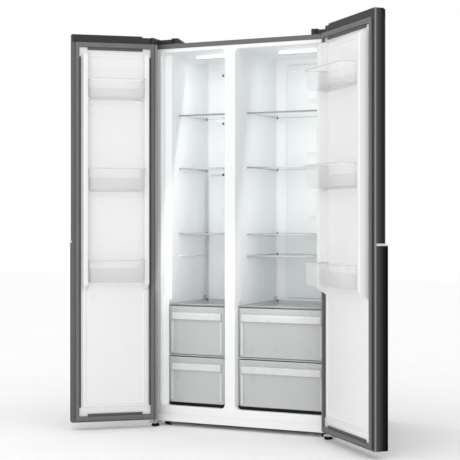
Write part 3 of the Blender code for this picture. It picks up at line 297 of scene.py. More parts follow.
MATERIALS = {
    "white_sheet": vacuum_formed("white_sheet", (0.88, 0.89, 0.895), 0.32),
    "door_sheet": vacuum_formed("door_sheet", (0.80, 0.80, 0.80), 0.36),
    "white_paint": vacuum_formed("white_paint", (0.86, 0.865, 0.865), 0.34),
    "white_mould": moulded("white_mould", (0.82, 0.835, 0.84), 0.36, 1100.0),
    "dark_steel": brushed("dark_steel_brushed", (0.105, 0.105, 0.108), 0.36),
    # Lighter copy of the door's dark steel for the edge bead: a painted highlight.
    "edge_painted_highlight": brushed("edge_painted_highlight_brushed", (0.26, 0.26, 0.26), 0.34),
    "lip_steel": brushed("lip_steel_brushed", (0.115, 0.115, 0.116), 0.42),
    # Lighter copy of the door's dark steel for the strip beside the hinge: a painted highlight.
    "hinge_strip_painted_highlight": brushed("hinge_strip_painted_highlight_brushed", (0.26, 0.26, 0.26), 0.32),
    "ledge_steel": brushed("ledge_steel_brushed", (0.62, 0.62, 0.62), 0.30, (5.0, 900.0, 900.0)),
    "side_steel": moulded("side_steel_coated", (0.125, 0.124, 0.123), 0.42, 1600.0, 0.00005, 0.05, 0.2),
    "grey_steel": zinc("grey_steel_coated", (0.40, 0.41, 0.42)),
    "zinc": zinc("zinc_plated", (0.62, 0.63, 0.65)),
    "cap": moulded("cap_plastic", (0.030, 0.030, 0.031), 0.50, 1300.0, 0.00006, 0.06, 0.0, 0.25),
    "cover": moulded("cover_plastic", (0.030, 0.030, 0.031), 0.45, 1100.0, 0.00006, 0.06, 0.0, 0.30),
    "black": moulded("black_plastic_grain", (0.006, 0.006, 0.006), 0.50, 1200.0, 0.00006, 0.06, 0.0, 0.15),
    "bright_grey": moulded("light_grey_plastic", (0.55, 0.55, 0.54), 0.35, 1300.0),
    "gasket": rubber("gasket_rubber", (0.130, 0.130, 0.132)),
    # Darker rubber for the gasket's inner band: painted shadow of the gap between gasket and liner.
    "gasket_painted_shadow": rubber("gasket_painted_shadow_rubber", (0.075, 0.075, 0.078)),
    "glass": translucent("shelf_glass", (0.80, 0.88, 0.87), 0.30, 0.06, 0.00001),
    "glass_edge": translucent("shelf_glass_edge", (0.50, 0.66, 0.62), 0.75, 0.12, 0.00001),
    "trim": moulded("shelf_trim_plastic", (0.36, 0.37, 0.37), 0.38, 1300.0),
    "drawer": translucent("drawer_plastic", (0.60, 0.61, 0.61), 0.86, 0.30),
    # Lighter, more opaque copy of the drawer plastic for the handle and edge ribs: a painted highlight.
    "drawer_painted_highlight": translucent("drawer_handle_painted_highlight", (0.71, 0.715, 0.715), 0.92, 0.28),
    "divider": moulded("divider_plastic", (0.52, 0.53, 0.53), 0.40, 1300.0),
    "bin": translucent("bin_plastic", (0.90, 0.905, 0.91), 0.17, 0.25),
    "bin_rim": translucent("bin_rim_plastic", (0.72, 0.73, 0.735), 0.50, 0.25),
    "lamp": lit("lamp_lens_lit", 4.0),
    "foam": foamed("insulation_foam_cells", (0.80, 0.72, 0.45)),
    "enamel": moulded("compressor_enamel", (0.015, 0.015, 0.016), 0.30, 500.0, 0.00010, 0.1, 0.3),
    "fins": brushed("fin_aluminium_rolled", (0.75, 0.76, 0.77), 0.34, (5.0, 5.0, 800.0), 0.05),
    "slot": moulded("slot_shadow_plastic", (0.10, 0.105, 0.11), 0.60, 900.0),
}


# -------- modelling tools


def arc(x, y, radius, start, end, steps):
    """Points on an arc, from start to end in degrees."""
    turns = [math.radians(start + (end - start) * i / steps) for i in range(steps + 1)]
    return [(x + radius * math.cos(t), y + radius * math.sin(t)) for t in turns]


def circle(x, y, radius, sides=32):
    return arc(x, y, radius, 0, 360, sides)[:-1]


def rounded(x, y, radius, steps=5):
    """A rectangle with round corners, anticlockwise. One radius, or four from the low left corner round."""
    radii = radius if isinstance(radius, tuple) else (radius,) * 4
    corners = ((x[0], y[0], 1, 1), (x[1], y[0], -1, 1), (x[1], y[1], -1, -1), (x[0], y[1], 1, -1))
    points = []
    for i, (cx, cy, dx, dy) in enumerate(corners):
        r = radii[i]
        points += arc(cx + dx * r, cy + dy * r, r, 180 + 90 * i, 270 + 90 * i, steps)
    return points


def show(found):
    bpy.context.scene.collection.objects.link(found)


AXES = {
    "X": lambda a, b, along: (along, a, b),
    "Y": lambda a, b, along: (a, along, b),
    "Z": lambda a, b, along: (a, b, along),
}


def loft(rings, ends=(True, True)):
    """Skin over closed rings with the same number of points, with flat ends where asked."""
    bm = bmesh.new()
    made = [[bm.verts.new(point) for point in ring] for ring in rings]
    for low, high in zip(made, made[1:]):
        for i in range(len(low)):
            j = (i + 1) % len(low)
            bm.faces.new((low[i], low[j], high[j], high[i]))
    if ends[0]:
        bm.faces.new(reversed(made[0]))
    if ends[1]:
        bm.faces.new(made[-1])
    return bm


def prism(outline, axis, span):
    place = AXES[axis]
    return loft([[place(a, b, along) for a, b in outline] for along in span])


def turned(profile, at, axis="Z", sides=36):
    """A solid of revolution. The profile's points are (radius, height), and its ends may lie on the axis."""
    place = AXES[axis]
    rings = []
    for radius, height in profile:
        around = circle(0, 0, max(radius, 0.00002), sides)
        rings.append([Vector(place(a, b, height)) + Vector(at) for a, b in around])
    return loft(rings)


def grown(outline, distance):
    """The outline moved outwards by distance. It runs anticlockwise."""
    moved = []
    for i, point in enumerate(outline):
        p = Vector(point)
        before = (p - Vector(outline[i - 1])).normalized()
        after = (Vector(outline[(i + 1) % len(outline)]) - p).normalized()
        out_before = Vector((before.y, -before.x))
        out_after = Vector((after.y, -after.x))
        reach = (out_before + out_after) / max(0.3, 1 + out_before.dot(out_after))
        moved.append(tuple(p + reach * distance))
    return moved


def stations(span, steps):
    """Places along a span, the same at both ends. Each step is a distance from the end and a value there."""
    near = [(span[0] + along, value) for along, value in steps]
    far = [(span[1] - along, value) for along, value in reversed(steps)]
    return near + far


def pillow(outline, axis, span, edge, steps=3):
    """A plate with rounded rims: the outline extruded along axis, its rims rounded by edge."""
    place = AXES[axis]
    rim = []
    for i in range(steps + 1):
        t = math.radians(90 * i / steps)
        rim.append((edge * (1 - math.cos(t)), edge * (1 - math.sin(t))))
    return loft([[place(a, b, at) for a, b in grown(outline, -inset)] for at, inset in stations(span, rim)])


def hoop(rings):
    """A closed tube: a skin over the rings in turn, and from the last back to the first."""
    bm = loft([*rings, rings[0]], (False, False))
    bmesh.ops.remove_doubles(bm, verts=bm.verts, dist=1e-6)
    return bm


def upright_ring(x, z, inset, y, radius, steps=2):
    """A rounded rectangle that stands across Y, drawn in by inset."""
    across = (x[0] + inset, x[1] - inset)
    up = (z[0] + inset, z[1] - inset)
    return [(a, y, b) for a, b in rounded(across, up, radius, steps)]


def joined(*shapes):
    """Several bodies as one mesh."""
    whole = bmesh.new()
    for bm in shapes:
        bmesh.ops.recalc_face_normals(bm, faces=bm.faces)
        mesh = bpy.data.meshes.new("part")
        bm.to_mesh(mesh)
        bm.free()
        whole.from_mesh(mesh)
        bpy.data.meshes.remove(mesh)
    return whole


def piece(
    name, bm, finish, body="cabinet", stands_for=(), slot=None, matrix=None, sheet=0.0, bevel=0.0, smooth=32
):
    """A shown piece on a CAD body. sheet gives an open skin its thickness, away from its normals."""
    mirrored = matrix is not None and matrix.determinant() < 0
    if not sheet:
        bmesh.ops.recalc_face_normals(bm, faces=bm.faces)
    if matrix is not None:
        bmesh.ops.transform(bm, matrix=matrix, verts=bm.verts)
    if mirrored:
        bmesh.ops.reverse_faces(bm, faces=bm.faces)
    mesh = bpy.data.meshes.new(name)
    bm.to_mesh(mesh)
    bm.free()
    mesh.shade_smooth()
    mesh.set_sharp_from_angle(angle=math.radians(smooth))
    mesh.materials.append(MATERIALS[finish])
    made = bpy.data.objects.new(name, mesh)
    show(made)
    if sheet:
        thick = made.modifiers.new("sheet", "SOLIDIFY")
        thick.thickness = sheet
        thick.offset = -1.0
        thick.use_even_offset = True
    if bevel:
        soften(made, bevel)
    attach(made, body)
    if stands_for:
        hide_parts(*stands_for)
    return made


def soften(found, width, segments=2, angle=40):
    """Rounds an object's edges that are sharper than angle."""
    bevel = found.modifiers.new("soft_edges", "BEVEL")
    bevel.width = width
    bevel.segments = segments
    bevel.limit_method = "ANGLE"
    bevel.angle_limit = math.radians(angle)
    bevel.harden_normals = True


def keep(node, finish, bevel=0.0):
    """A CAD node that stays, with its finish and softened edges."""
    found = frame["nodes"][node]
    found.data.materials.clear()
    found.data.materials.append(MATERIALS[finish])
    if bevel:
        soften(found, bevel)


# -------- places read from the frame


def span_of(node):
    low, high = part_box(node)
    return (low.x, high.x), (low.y, high.y), (low.z, high.z)


FRONT = span_of("cabinet_shell")[1][0]


class Compartment:
    """One of the two compartments: its mouth, walls, back, and the step over the machine bay."""

    def __init__(self, side, cover):
        self.side = side
        self.cover = cover
        x, y, z = span_of(f"{side}_liner")
        self.mouth = (x[0] + LINER_T, x[1] - LINER_T)
        self.back = y[1] - LINER_T
        self.height = (z[0] + LINER_T, z[1] - LINER_T)
        shelf_x, self.shelf_y = span_of(f"{side}_shelf_top")[:2]
        self.walls = (shelf_x[0] - SHELF_SIDE, shelf_x[1] + SHELF_SIDE)
        self.lower_back = span_of(f"{side}_drawer_lower")[1][1] + CORNER_R
        self.step = span_of(f"{side}_drawer_upper")[2][0] - DRAWER_CLEARANCE
        self.cover_top = span_of(cover)[2][1]


FREEZER = Compartment("freezer", "freezer_drawer_cover")
FRIDGE = Compartment("fridge", "crisper_cover")


class Door:
    """A door's own axes, and its sizes in them."""

    def __init__(self, side, hand):
        self.side = side
        self.hand = hand
        self.body = f"{side}_door"
        joint = next(j for j in frame["joints"] if j["name"] == f"{side}_door_hinge")
        opened = math.radians(-joint["range_deg"][0])
        pin = Vector((joint["pos_m"][0], joint["pos_m"][1], 0.0))
        mirror = Matrix.Diagonal((hand, 1.0, 1.0, 1.0))
        self.matrix = Matrix.Translation(pin) @ Matrix.Rotation(-hand * opened, 4, "Z") @ mirror
        back = self.matrix.inverted()
        skin = [back @ v.co for v in frame["nodes"][f"door_skin_{side}"].data.vertices]
        self.edge = max(v.x for v in skin)
        self.bottom = min(v.z for v in skin)
        self.cap_z = span_of(f"door_cap_{side}")[2]
        liner = [back @ v.co for v in frame["nodes"][f"door_liner_{side}"].data.vertices]
        self.liner_x = (min(v.x for v in liner), max(v.x for v in liner))
        self.liner_z = (min(v.z for v in liner), max(v.z for v in liner))
        self.dike_top = self.liner_z[1] - DIKE_TOP_DROP
        hinge_side = DIKE_INSET - PIN_INSET
        self.dikes = (
            (hinge_side, hinge_side + DIKE_W),
            (self.edge - DIKE_INSET - DIKE_W, self.edge - DIKE_INSET),
        )
        self.back = back

    def local(self, node):
        points = [self.back @ v.co for v in frame["nodes"][node].data.vertices]
        return [(min(v[k] for v in points), max(v[k] for v in points)) for k in range(3)]

    def piece(self, name, bm, finish, stands_for=(), body=None, **how):
        body = body or self.body
        return piece(f"{self.side}_{name}", bm, finish, body, stands_for, matrix=self.matrix, **how)


# -------- cabinet


def make_front_frame():
    """White front with a raised rounded lip round each mouth; the mullion is the strip between the lips."""
    x, y, z = span_of("front_frame")
    curve = bpy.data.curves.new("front_frame_outline", "CURVE")
    curve.dimensions = "2D"
    curve.fill_mode = "BOTH"
    rim = 0.0004
    curve.extrude = (y[1] - y[0]) / 2 - rim
    curve.bevel_depth = rim
    curve.bevel_resolution = 2
    curve.offset = -rim
    outlines = [rounded(x, z, 0.003)]
    for room in (FREEZER, FRIDGE):
        hole = rounded(room.mouth, room.height, MOUTH_R, 8)
        outlines.append(grown(hole, LIP_W / 2))
    for outline in outlines:
        spline = curve.splines.new("POLY")
        spline.points.add(len(outline) - 1)
        for point, (a, b) in zip(spline.points, outline):
            point.co = (a, b, 0.0, 1.0)
        spline.use_cyclic_u = True
    drawn = bpy.data.objects.new("front_frame_outline", curve)
    show(drawn)
    bpy.context.view_layer.update()
    mesh = bpy.data.meshes.new_from_object(drawn.evaluated_get(bpy.context.evaluated_depsgraph_get()))
    bm = bmesh.new()
    bm.from_mesh(mesh)
    bmesh.ops.remove_doubles(bm, verts=bm.verts, dist=0.00002)
    bpy.data.objects.remove(drawn)
    bpy.data.curves.remove(curve)
    bpy.data.meshes.remove(mesh)
    stand = Matrix.Translation((0, (y[0] + y[1]) / 2, 0)) @ Matrix.Rotation(math.pi / 2, 4, "X")
    piece("front_frame_panel", bm, "white_paint", "cabinet", ("front_frame",), "white_steel", stand)


def cavity_rings(room):
    """Rings of a compartment's inside, from its lip to its back. Each is a rounded rectangle across Y."""

    def ring(y, x, z, radius):
        return upright_ring(x, z, 0.0, y, radius, 5)

    low, high = room.height
    rings = []
    lip = ((LIP_W, 0.0012), (LIP_W, -LIP_OUT * 0.5), (LIP_W - 0.0012, -LIP_OUT))
    lip += ((0.0030, -LIP_OUT), (0.0010, -LIP_OUT * 0.3), (0.0, 0.0015))
    for out, y in lip:
        x = (room.mouth[0] - out, room.mouth[1] + out)
        rings.append(ring(FRONT + y, x, (low - out, high + out), MOUTH_R + out))
    rings.append(ring(FRONT + MOUTH_DEPTH, room.mouth, (low, high), MOUTH_R))
    slant_y = FRONT + MOUTH_DEPTH + MOUTH_SLANT
    rings.append(ring(slant_y, room.walls, (low, high), CORNER_R))
    rings.append(ring(slant_y + 0.004, room.walls, (low, high), CORNER_R))
    turn = 0.012
    for i in range(4):
        t = math.radians(30 * i)
        y = room.lower_back - turn + turn * math.sin(t)
        rings.append(ring(y, room.walls, (low + turn * (1 - math.cos(t)), high), CORNER_R))
    for i in range(4):
        t = math.radians(30 * i)
        y = room.lower_back + turn * (1 - math.cos(t))
        rings.append(ring(y, room.walls, (room.step - turn * (1 - math.sin(t)), high), CORNER_R))
    for i in range(6):
        t = math.radians(18 * i)
        inset = CORNER_R * (1 - math.cos(t)) * 0.98
        x = (room.walls[0] + inset, room.walls[1] - inset)
        z = (room.step + inset, high - inset)
        rings.append(ring(room.back - CORNER_R + CORNER_R * math.sin(t), x, z, CORNER_R))
    return rings


def make_cavity(room):
    bm = loft(cavity_rings(room), (False, True))
    bm.faces.ensure_lookup_table()
    bm.normal_update()
    back = bm.faces[len(bm.faces) - 1]
    if back.normal.y > 0:
        bmesh.ops.reverse_faces(bm, faces=bm.faces)
    slot = "white_liner"
    piece(f"{room.side}_inside", bm, "white_sheet", "cabinet", (f"{room.side}_liner",), slot, sheet=0.0012)


def make_drawer_cheeks(room):
    """Where the walls step in, beside the drawers: a filler with a sloped top on each side."""
    low = room.height[0] + 0.0005
    for index, side in enumerate((1, -1)):
        mouth, wall = room.mouth[index], room.walls[index]
        inset = abs(wall - mouth)
        top_wall = room.cover_top + DRAWER_ZONE_RISE + 0.004
        top_mouth = top_wall + inset
        front = FRONT + DRAWER_MOUTH_DEPTH
        rear = FRONT + MOUTH_DEPTH + MOUTH_SLANT + 0.006
        behind = mouth - side * 0.0004
        plan = [(behind, front), (wall, front + MOUTH_SLANT), (wall, rear), (behind, rear)]
        bm = loft([[(a, b, low) for a, b in plan], [(a, b, top_wall) for a, b in plan]])
        for vertex in bm.verts:
            if vertex.co.z > top_wall - 1e-6 and abs(vertex.co.x - behind) < 1e-6:
                vertex.co.z = top_mouth
        bevel = min(0.003, inset * 0.3)
        piece(f"{room.side}_cheek_{index + 1}", bm, "white_sheet", bevel=bevel)


def shelf_tops(room):
    tops = []
    for node in frame["nodes"]:
        if node.startswith(f"{room.side}_shelf_"):
            tops.append(span_of(node)[2][1])
    tops.append(room.cover_top)
    return sorted(tops, reverse=True)


def make_rails(room, extra=()):
    """Moulded rails on both walls under each shelf, and at the heights in extra, where no shelf lies."""
    shapes = []
    for top in [*shelf_tops(room), *extra]:
        high = top - GLASS - 0.0004
        y = (room.shelf_y[0] + 0.008, room.back - CORNER_R)
        outline = rounded(y, (high - RAIL_H, high), 0.003, 3)
        shapes.append(pillow(outline, "X", (room.walls[0] - 0.001, room.walls[0] + RAIL_OUT), 0.0014))
        shapes.append(pillow(outline, "X", (room.walls[1] - RAIL_OUT, room.walls[1] + 0.001), 0.0014))
    piece(f"{room.side}_rails", joined(*shapes), "white_sheet")


def make_shelf(node, name, clips=False):
    """Glass plate with a grey front trim, and a dark stop at each back corner."""
    x, y, z = span_of(node)
    top = z[1]
    corner = 0.011
    outline = [(x[0], y[0] + 0.002), (x[1], y[0] + 0.002), (x[1], y[1] - corner)]
    outline += [(x[1] - corner, y[1]), (x[0] + corner, y[1]), (x[0], y[1] - corner)]
    glass = pillow(outline, "Z", (top - GLASS, top - 0.0002), 0.0006, 2)
    plate = piece(f"{name}_glass", glass, "glass", "cabinet", (node,), "clear_glass")
    plate.data.materials.append(MATERIALS["glass_edge"])
    for polygon in plate.data.polygons:
        if abs(polygon.normal.z) < 0.6:
            polygon.material_index = 1
    section = rounded((y[0] - 0.0006, y[0] + TRIM_D), (z[0] + 0.0008, top + 0.0004), 0.0016, 3)
    trim = pillow(section, "X", (x[0] + 0.0002, x[1] - 0.0002), 0.0008, 2)
    piece(f"{name}_trim", trim, "trim")
    stops = []
    profile = [(0, -0.009), (0.003, -0.009), (0.0036, 0.002), (0.0026, 0.004), (0, 0.004)]
    for side, edge in ((1, x[0]), (-1, x[1])):
        stops.append(turned(profile, (edge + side * 0.012, y[1] - 0.010, top)))
    piece(f"{name}_stops", joined(*stops), "slot")
    if clips:
        make_clips(name, x, y, top)


def make_clips(name, x, y, top):
    """C-shaped spring clips that hold the glass over the drawers at its back corners."""
    shapes = []
    for side, edge in ((1, x[0]), (-1, x[1])):
        middle = (edge + side * 0.010, top + 0.010)
        outer = arc(middle[0], middle[1], 0.009, 60, 300, 12)
        inner = arc(middle[0], middle[1], 0.0066, 300, 60, 12)
        shapes.append(prism(outer + inner, "Y", (y[1] - 0.020, y[1] - 0.012)))
    piece(f"{name}_clips", joined(*shapes), "trim", bevel=0.0004)


def make_back_details():
    """Duct covers on the back walls with their ribs, and the air outlets with their screws."""
    x, y, z = span_of("fridge_duct_cover")
    panel = pillow(rounded(x, z, 0.014, 6), "Y", (y[0], y[1] + 0.0002), 0.003)
    piece("fridge_duct_panel", panel, "white_mould", "cabinet", ("fridge_duct_cover",), "white_liner")
    ribs = []
    for drop in (0.030, 0.058):
        band = rounded((x[0] + 0.020, x[1] - 0.020), (z[1] - drop - 0.003, z[1] - drop + 0.003), 0.0029, 4)
        ribs.append(pillow(band, "Y", (y[0] - 0.0016, y[0] + 0.001), 0.0010, 2))
    piece("fridge_duct_ribs", joined(*ribs), "white_sheet")
    outlets = [louvre((x[0] + x[1]) / 2, y[0], top + 0.060, 0.110) for top in shelf_tops(FRIDGE)[:4]]
    piece("fridge_duct_louvres", joined(*outlets), "white_mould", bevel=0.0006)
    x, y, z = span_of("freezer_duct_cover")
    panel = pillow(rounded(x, z, (0.002, 0.002, 0.016, 0.016), 6), "Y", (y[0], y[1] + 0.0002), 0.004)
    piece("freezer_duct_panel", panel, "white_mould", "cabinet", ("freezer_duct_cover",), "white_liner")
    middle = (x[0] + x[1]) / 2
    outlets = [louvre(middle, y[0], FREEZER.cover_top + rise, 0.120) for rise in (0.045, 0.225, 0.420)]
    piece("freezer_duct_louvres", joined(*outlets), "white_mould", bevel=0.0006)
    tops = shelf_tops(FREEZER)
    levels = (tops[0] + 0.213, tops[0] - 0.022, tops[1] - 0.022)
    outlets = [louvre(middle, FREEZER.back, level, 0.120) for level in levels]
    piece("freezer_back_louvres", joined(*outlets), "white_mould", bevel=0.0006)
    screws = []
    profile = [(0, 0.0), (0.0045, 0.0), (0.006, 0.0045), (0, 0.0045)]
    for level in levels:
        for side in (-1, 1):
            screws.append(turned(profile, (middle + side * 0.066, FREEZER.back - 0.004, level), "Y", 20))
    piece("freezer_back_screws", joined(*screws), "slot")


def louvre(middle, wall, level, width):
    """An air outlet: three slats that stand a little out of the wall."""
    shapes = []
    half = width / 2
    for k in range(3):
        low = level + k * 0.009
        slat = rounded((middle - half, middle + half), (low, low + 0.0045), 0.0020, 3)
        shapes.append(pillow(slat, "Y", (wall - 0.0024, wall + 0.0006), 0.0008, 2))
    return joined(*shapes)


def make_lamp(room):
    """Lit lens in a shallow white bezel on the ceiling."""
    node = f"{room.side}_lamp"
    x, y, z = span_of(node)
    rim = 0.003
    lens = rounded((x[0] + rim, x[1] - rim), (y[0] + rim, y[1] - rim), 0.005)
    piece(f"{node}_lens", pillow(lens, "Z", z, 0.002), "lamp", "cabinet", (node,), "lamp_lens")
    outline = rounded((x[0] - rim, x[1] + rim), (y[0] - rim, y[1] + rim), 0.009)
    bezel = pillow(outline, "Z", (z[1] - 0.0015, z[1] + 0.0006), 0.0007)
    piece(f"{node}_bezel", bezel, "white_mould")


def make_drawer(room, level):
    """Translucent drawer: drafted walls, round corners, a rim, and a rounded handle along its front; the
    handle and the ribs beside it are in a lighter plastic, a painted highlight.
    """
    node = f"{room.side}_drawer_{level}"
    x, y, z = span_of(node)
    lip = 0.012
    front = y[0] + lip
    wall = 0.0024
    draft = 0.003
    radii = (0.014, 0.014, 0.012, 0.012)

    def ring(height, inset):
        outline = rounded((x[0] + inset, x[1] - inset), (front + inset, y[1] - inset), radii, 6)
        return [(a, b, height) for a, b in outline]

    floor, brim = z
    outer = [(floor, draft + 0.004), (floor + 0.0012, draft + 0.0012), (floor + 0.004, draft)]
    outer += [(brim - 0.008, 0.0006), (brim - 0.0065, 0.0), (brim - 0.0008, 0.0), (brim, 0.0006)]
    inner = [(brim, wall), (brim - 0.012, wall + 0.0006), (floor + 0.005, draft + wall)]
    inner += [(floor + wall + 0.0006, draft + wall + 0.002), (floor + wall, draft + wall + 0.005)]
    tray = loft([ring(*step) for step in outer + inner])
    high = brim - 0.027
    low = high - 0.034
    section = [(front + 0.001, high), (front - 0.004, high)]
    section += arc(front - 0.004, high - 0.008, 0.008, 90, 180, 5)
    section += [(front - lip, low + 0.010), *arc(front - lip + 0.003, low + 0.004, 0.003, 180, 270, 3)]
    section += [(front - 0.006, low + 0.001), (front - 0.006, low + 0.012), (front + 0.001, low + 0.016)]
    inset = 0.018
    centre = (high + low) / 2
    handle = []
    ends = ((0.0, 0.55), (0.003, 0.82), (0.008, 0.96), (0.015, 1.0))
    for along, squeeze in stations((x[0] + inset, x[1] - inset), ends):
        tall = 0.7 + 0.3 * squeeze
        scaled = [(front + (a - front) * squeeze, centre + (b - centre) * tall) for a, b in section]
        handle.append([(along, a, b) for a, b in scaled])
    piece(f"{node}_tray", tray, "drawer", node, (node,), "clear_plastic")
    # The handle and edge ribs use the lighter plastic: painted highlight.
    piece(f"{node}_handle", loft(handle), "drawer_painted_highlight", node, smooth=50)
    strips = []
    for side, edge in ((1, x[0]), (-1, x[1])):
        across = sorted((edge + side * 0.016, edge + side * 0.026))
        strip = rounded(across, (floor + 0.012, low - 0.006), 0.004, 4)
        strips.append(pillow(strip, "Y", (front - 0.0016, front + 0.001), 0.0012, 3))
    piece(f"{node}_edge_ribs", joined(*strips), "drawer_painted_highlight", node)


def make_divider(room):
    """Cross rail between the drawers."""
    lower, upper = span_of(f"{room.side}_drawer_lower")[2], span_of(f"{room.side}_drawer_upper")[2]
    clearance, sunk = 0.0022, 0.0004
    z = (lower[1] + clearance, upper[0] - clearance)
    y = (FRONT + DRAWER_MOUTH_DEPTH + MOUTH_SLANT + 0.001, FRONT + 0.060)
    rail = pillow(rounded(y, z, 0.002, 3), "X", (room.walls[0] - sunk, room.walls[1] + sunk), 0.0006, 2)
    piece(f"{room.side}_drawer_divider", rail, "divider")


def make_sill_strip(room):
    """Dark seal under the lower drawer's front, wider at its top."""
    x = (room.walls[0] + 0.012, room.walls[1] - 0.012)
    z = (room.height[0] + 0.0005, span_of(f"{room.side}_drawer_lower")[2][0] - 0.0015)
    bm = pillow(rounded(x, z, (0.003, 0.003, 0.001, 0.001), 3), "Y", (FRONT + 0.020, FRONT + 0.030), 0.001, 2)
    spread = 0.010
    for vertex in bm.verts:
        if vertex.co.z > sum(z) / 2:
            vertex.co.x += spread if vertex.co.x > sum(x) / 2 else -spread
    piece(f"{room.side}_sill_strip", bm, "black")


def make_shell():
    keep("cabinet_shell", "side_steel", 0.0004)
    keep("kick_plate", "white_paint", 0.0005)
    keep("insulation_foam", "foam")
    keep("back_panel", "grey_steel", 0.0003)
    keep("machine_cover", "grey_steel", 0.0003)
    keep("base_pan", "zinc")
    keep("compressor", "enamel")
    keep("condenser", "fins")
    keep("condenser_fan", "black")
    keep("evaporator", "fins")
    keep("evaporator_fan", "black")
    make_screws()


def make_screws():
    """Round-headed screws round the back panel and the machine bay's cover."""
    x, y, z = span_of("back_panel")
    bay = span_of("machine_cover")[2]
    places = []
    for column in range(4):
        across = x[0] + 0.015 + (x[1] - x[0] - 0.030) * column / 3
        places += [(across, z[1] - 0.012), (across, z[0] + 0.012), (across, bay[1] - 0.012)]
    for row in range(1, 6):
        level = z[0] + (z[1] - z[0]) * row / 6
        places += [(x[0] + 0.015, level), (x[1] - 0.015, level)]
    heads = []
    for across, level in places:
        head = [(0, 0.0), (0.0045, 0.0), (0.0042, 0.0012), (0.0030, 0.0020), (0.0012, 0.0022), (0, 0.0012)]
        heads.append(turned(head, (across, y[1], level), "Y", 16))
    piece("back_screws", joined(*heads), "zinc")


# -------- hinges and feet


def make_hinge_cover(door):
    """Cover with a long low block, a higher housing at its end, and an arm with a round boss over the pin."""
    side, hand = door.side, door.hand
    x, y, z = span_of(f"hinge_cover_{side}")
    pin = door.matrix.translation
    base, high = z
    outer = x[0] if hand == 1 else x[1]
    inner = x[1] if hand == 1 else x[0]
    front = FRONT + 0.004
    shapes = []
    low_block = rounded(sorted((outer, inner - hand * 0.020)), (front, y[1]), (0.004, 0.004, 0.012, 0.012), 6)
    shapes.append(pillow(low_block, "Z", (base, high - 0.0045), 0.0025))
    housing_x = sorted((inner - hand * 0.032, inner))
    slope = [(front, base), (y[1], base), (y[1], high - 0.013), (front + 0.020, high - 0.0005), (front, high)]
    rings = stations(housing_x, ((0.0, 0.0022), (0.0008, 0.0008), (0.0024, 0.0)))
    shapes.append(loft([[(a, b, c) for b, c in grown(slope, -inset)] for a, inset in rings]))
    nose = [(0, base), (0.0135, base), (0.0135, high - 0.003), (0.0127, high - 0.0009)]
    nose += [(0.011, high), (0, high)]
    shapes.append(turned(nose, (pin.x, pin.y, 0), "Z", 32))
    arm = rounded((pin.x - 0.0125, pin.x + 0.0125), (pin.y, front + 0.012), 0.001, 2)
    shapes.append(pillow(arm, "Z", (base, high - 0.0012), 0.0025))
    node = f"hinge_cover_{side}"
    piece(f"{side}_hinge_cover_shell", joined(*shapes), "cover", "cabinet", (node,), "dark_plastic")
    spot = (inner - hand * 0.016, front - 0.0006, base + 0.012)
    head = [(0, 0.0), (0.0040, 0.0), (0.0040, 0.0014), (0, 0.0014)]
    piece(f"{side}_hinge_cover_screw", turned(head, spot, "Y", 20), "black")
    keep(f"top_hinge_{side}", "zinc")


def make_foot(side):
    """Levelling foot with a ribbed rim."""
    node = f"levelling_foot_{side}"
    x, y, z = span_of(node)
    centre = (sum(x) / 2, sum(y) / 2, 0.0)
    radius = (x[1] - x[0]) / 2
    sides = 96
    rings = []
    profile = [(0.94, 0.0), (1.0, 0.002), (1.0, 0.0085), (0.93, 0.0100), (0.72, 0.0102), (0.70, 0.0148)]
    for share, height in profile:
        ring = []
        for i in range(sides):
            turn = 2 * math.pi * i / sides
            ribbed = 1.0 if share < 0.9 or i % 4 < 2 else 0.965
            r = radius * share * ribbed
            ring.append((centre[0] + r * math.cos(turn), centre[1] + r * math.sin(turn), height))
        rings.append(ring)
    stud = [(0.0038, 0.0145), (0.0038, z[1] - 0.001), (0.0030, z[1])]
    thread = turned([(0, 0.0140), *stud, (0, z[1])], centre, "Z", 24)
    piece(f"{node}_ribbed", loft(rings), "black", node, (node,), "black_plastic", smooth=25)
    piece(f"{node}_stud", thread, "zinc", node)


def make_roller(name):
    """Grooved roller with a hub, and a ring of bosses on each face."""
    x, y, z = span_of(name)
    centre = (sum(x) / 2, sum(y) / 2, sum(z) / 2)
    half = (x[1] - x[0]) / 2
    face = half - 0.0035
    radius = (z[1] - z[0]) / 2
    hub = 0.003
    rim = [(radius * 0.80, -face), (radius * 0.86, -face), (radius * 0.97, -face + 0.001)]
    rim += [(radius, -face + 0.0025), (radius, -0.002), (radius * 0.95, -0.001), (radius * 0.95, 0.001)]
    rim += [(radius, 0.002), (radius, face - 0.0025), (radius * 0.97, face - 0.001), (radius * 0.86, face)]
    profile = [(0, -half), (hub, -half), (hub, -face), *rim, (hub, face), (hub, half), (0, half)]
    spokes = []
    for end in (-1, 1):
        low, high = sorted((end * face, end * (face + 0.0008)))
        for across, up in circle(centre[1], centre[2], 0.0085, 5):
            at = (centre[0], across, up)
            boss = [(0, low), (0.0026, low), (0.0026, high), (0, high)]
            spokes.append(turned(boss, at, "X", 14))
    wheel = turned(profile, centre, "X", 48)
    piece(f"{name}_wheel", joined(wheel, *spokes), "black", name, (name,), "black_plastic")


# -------- doors


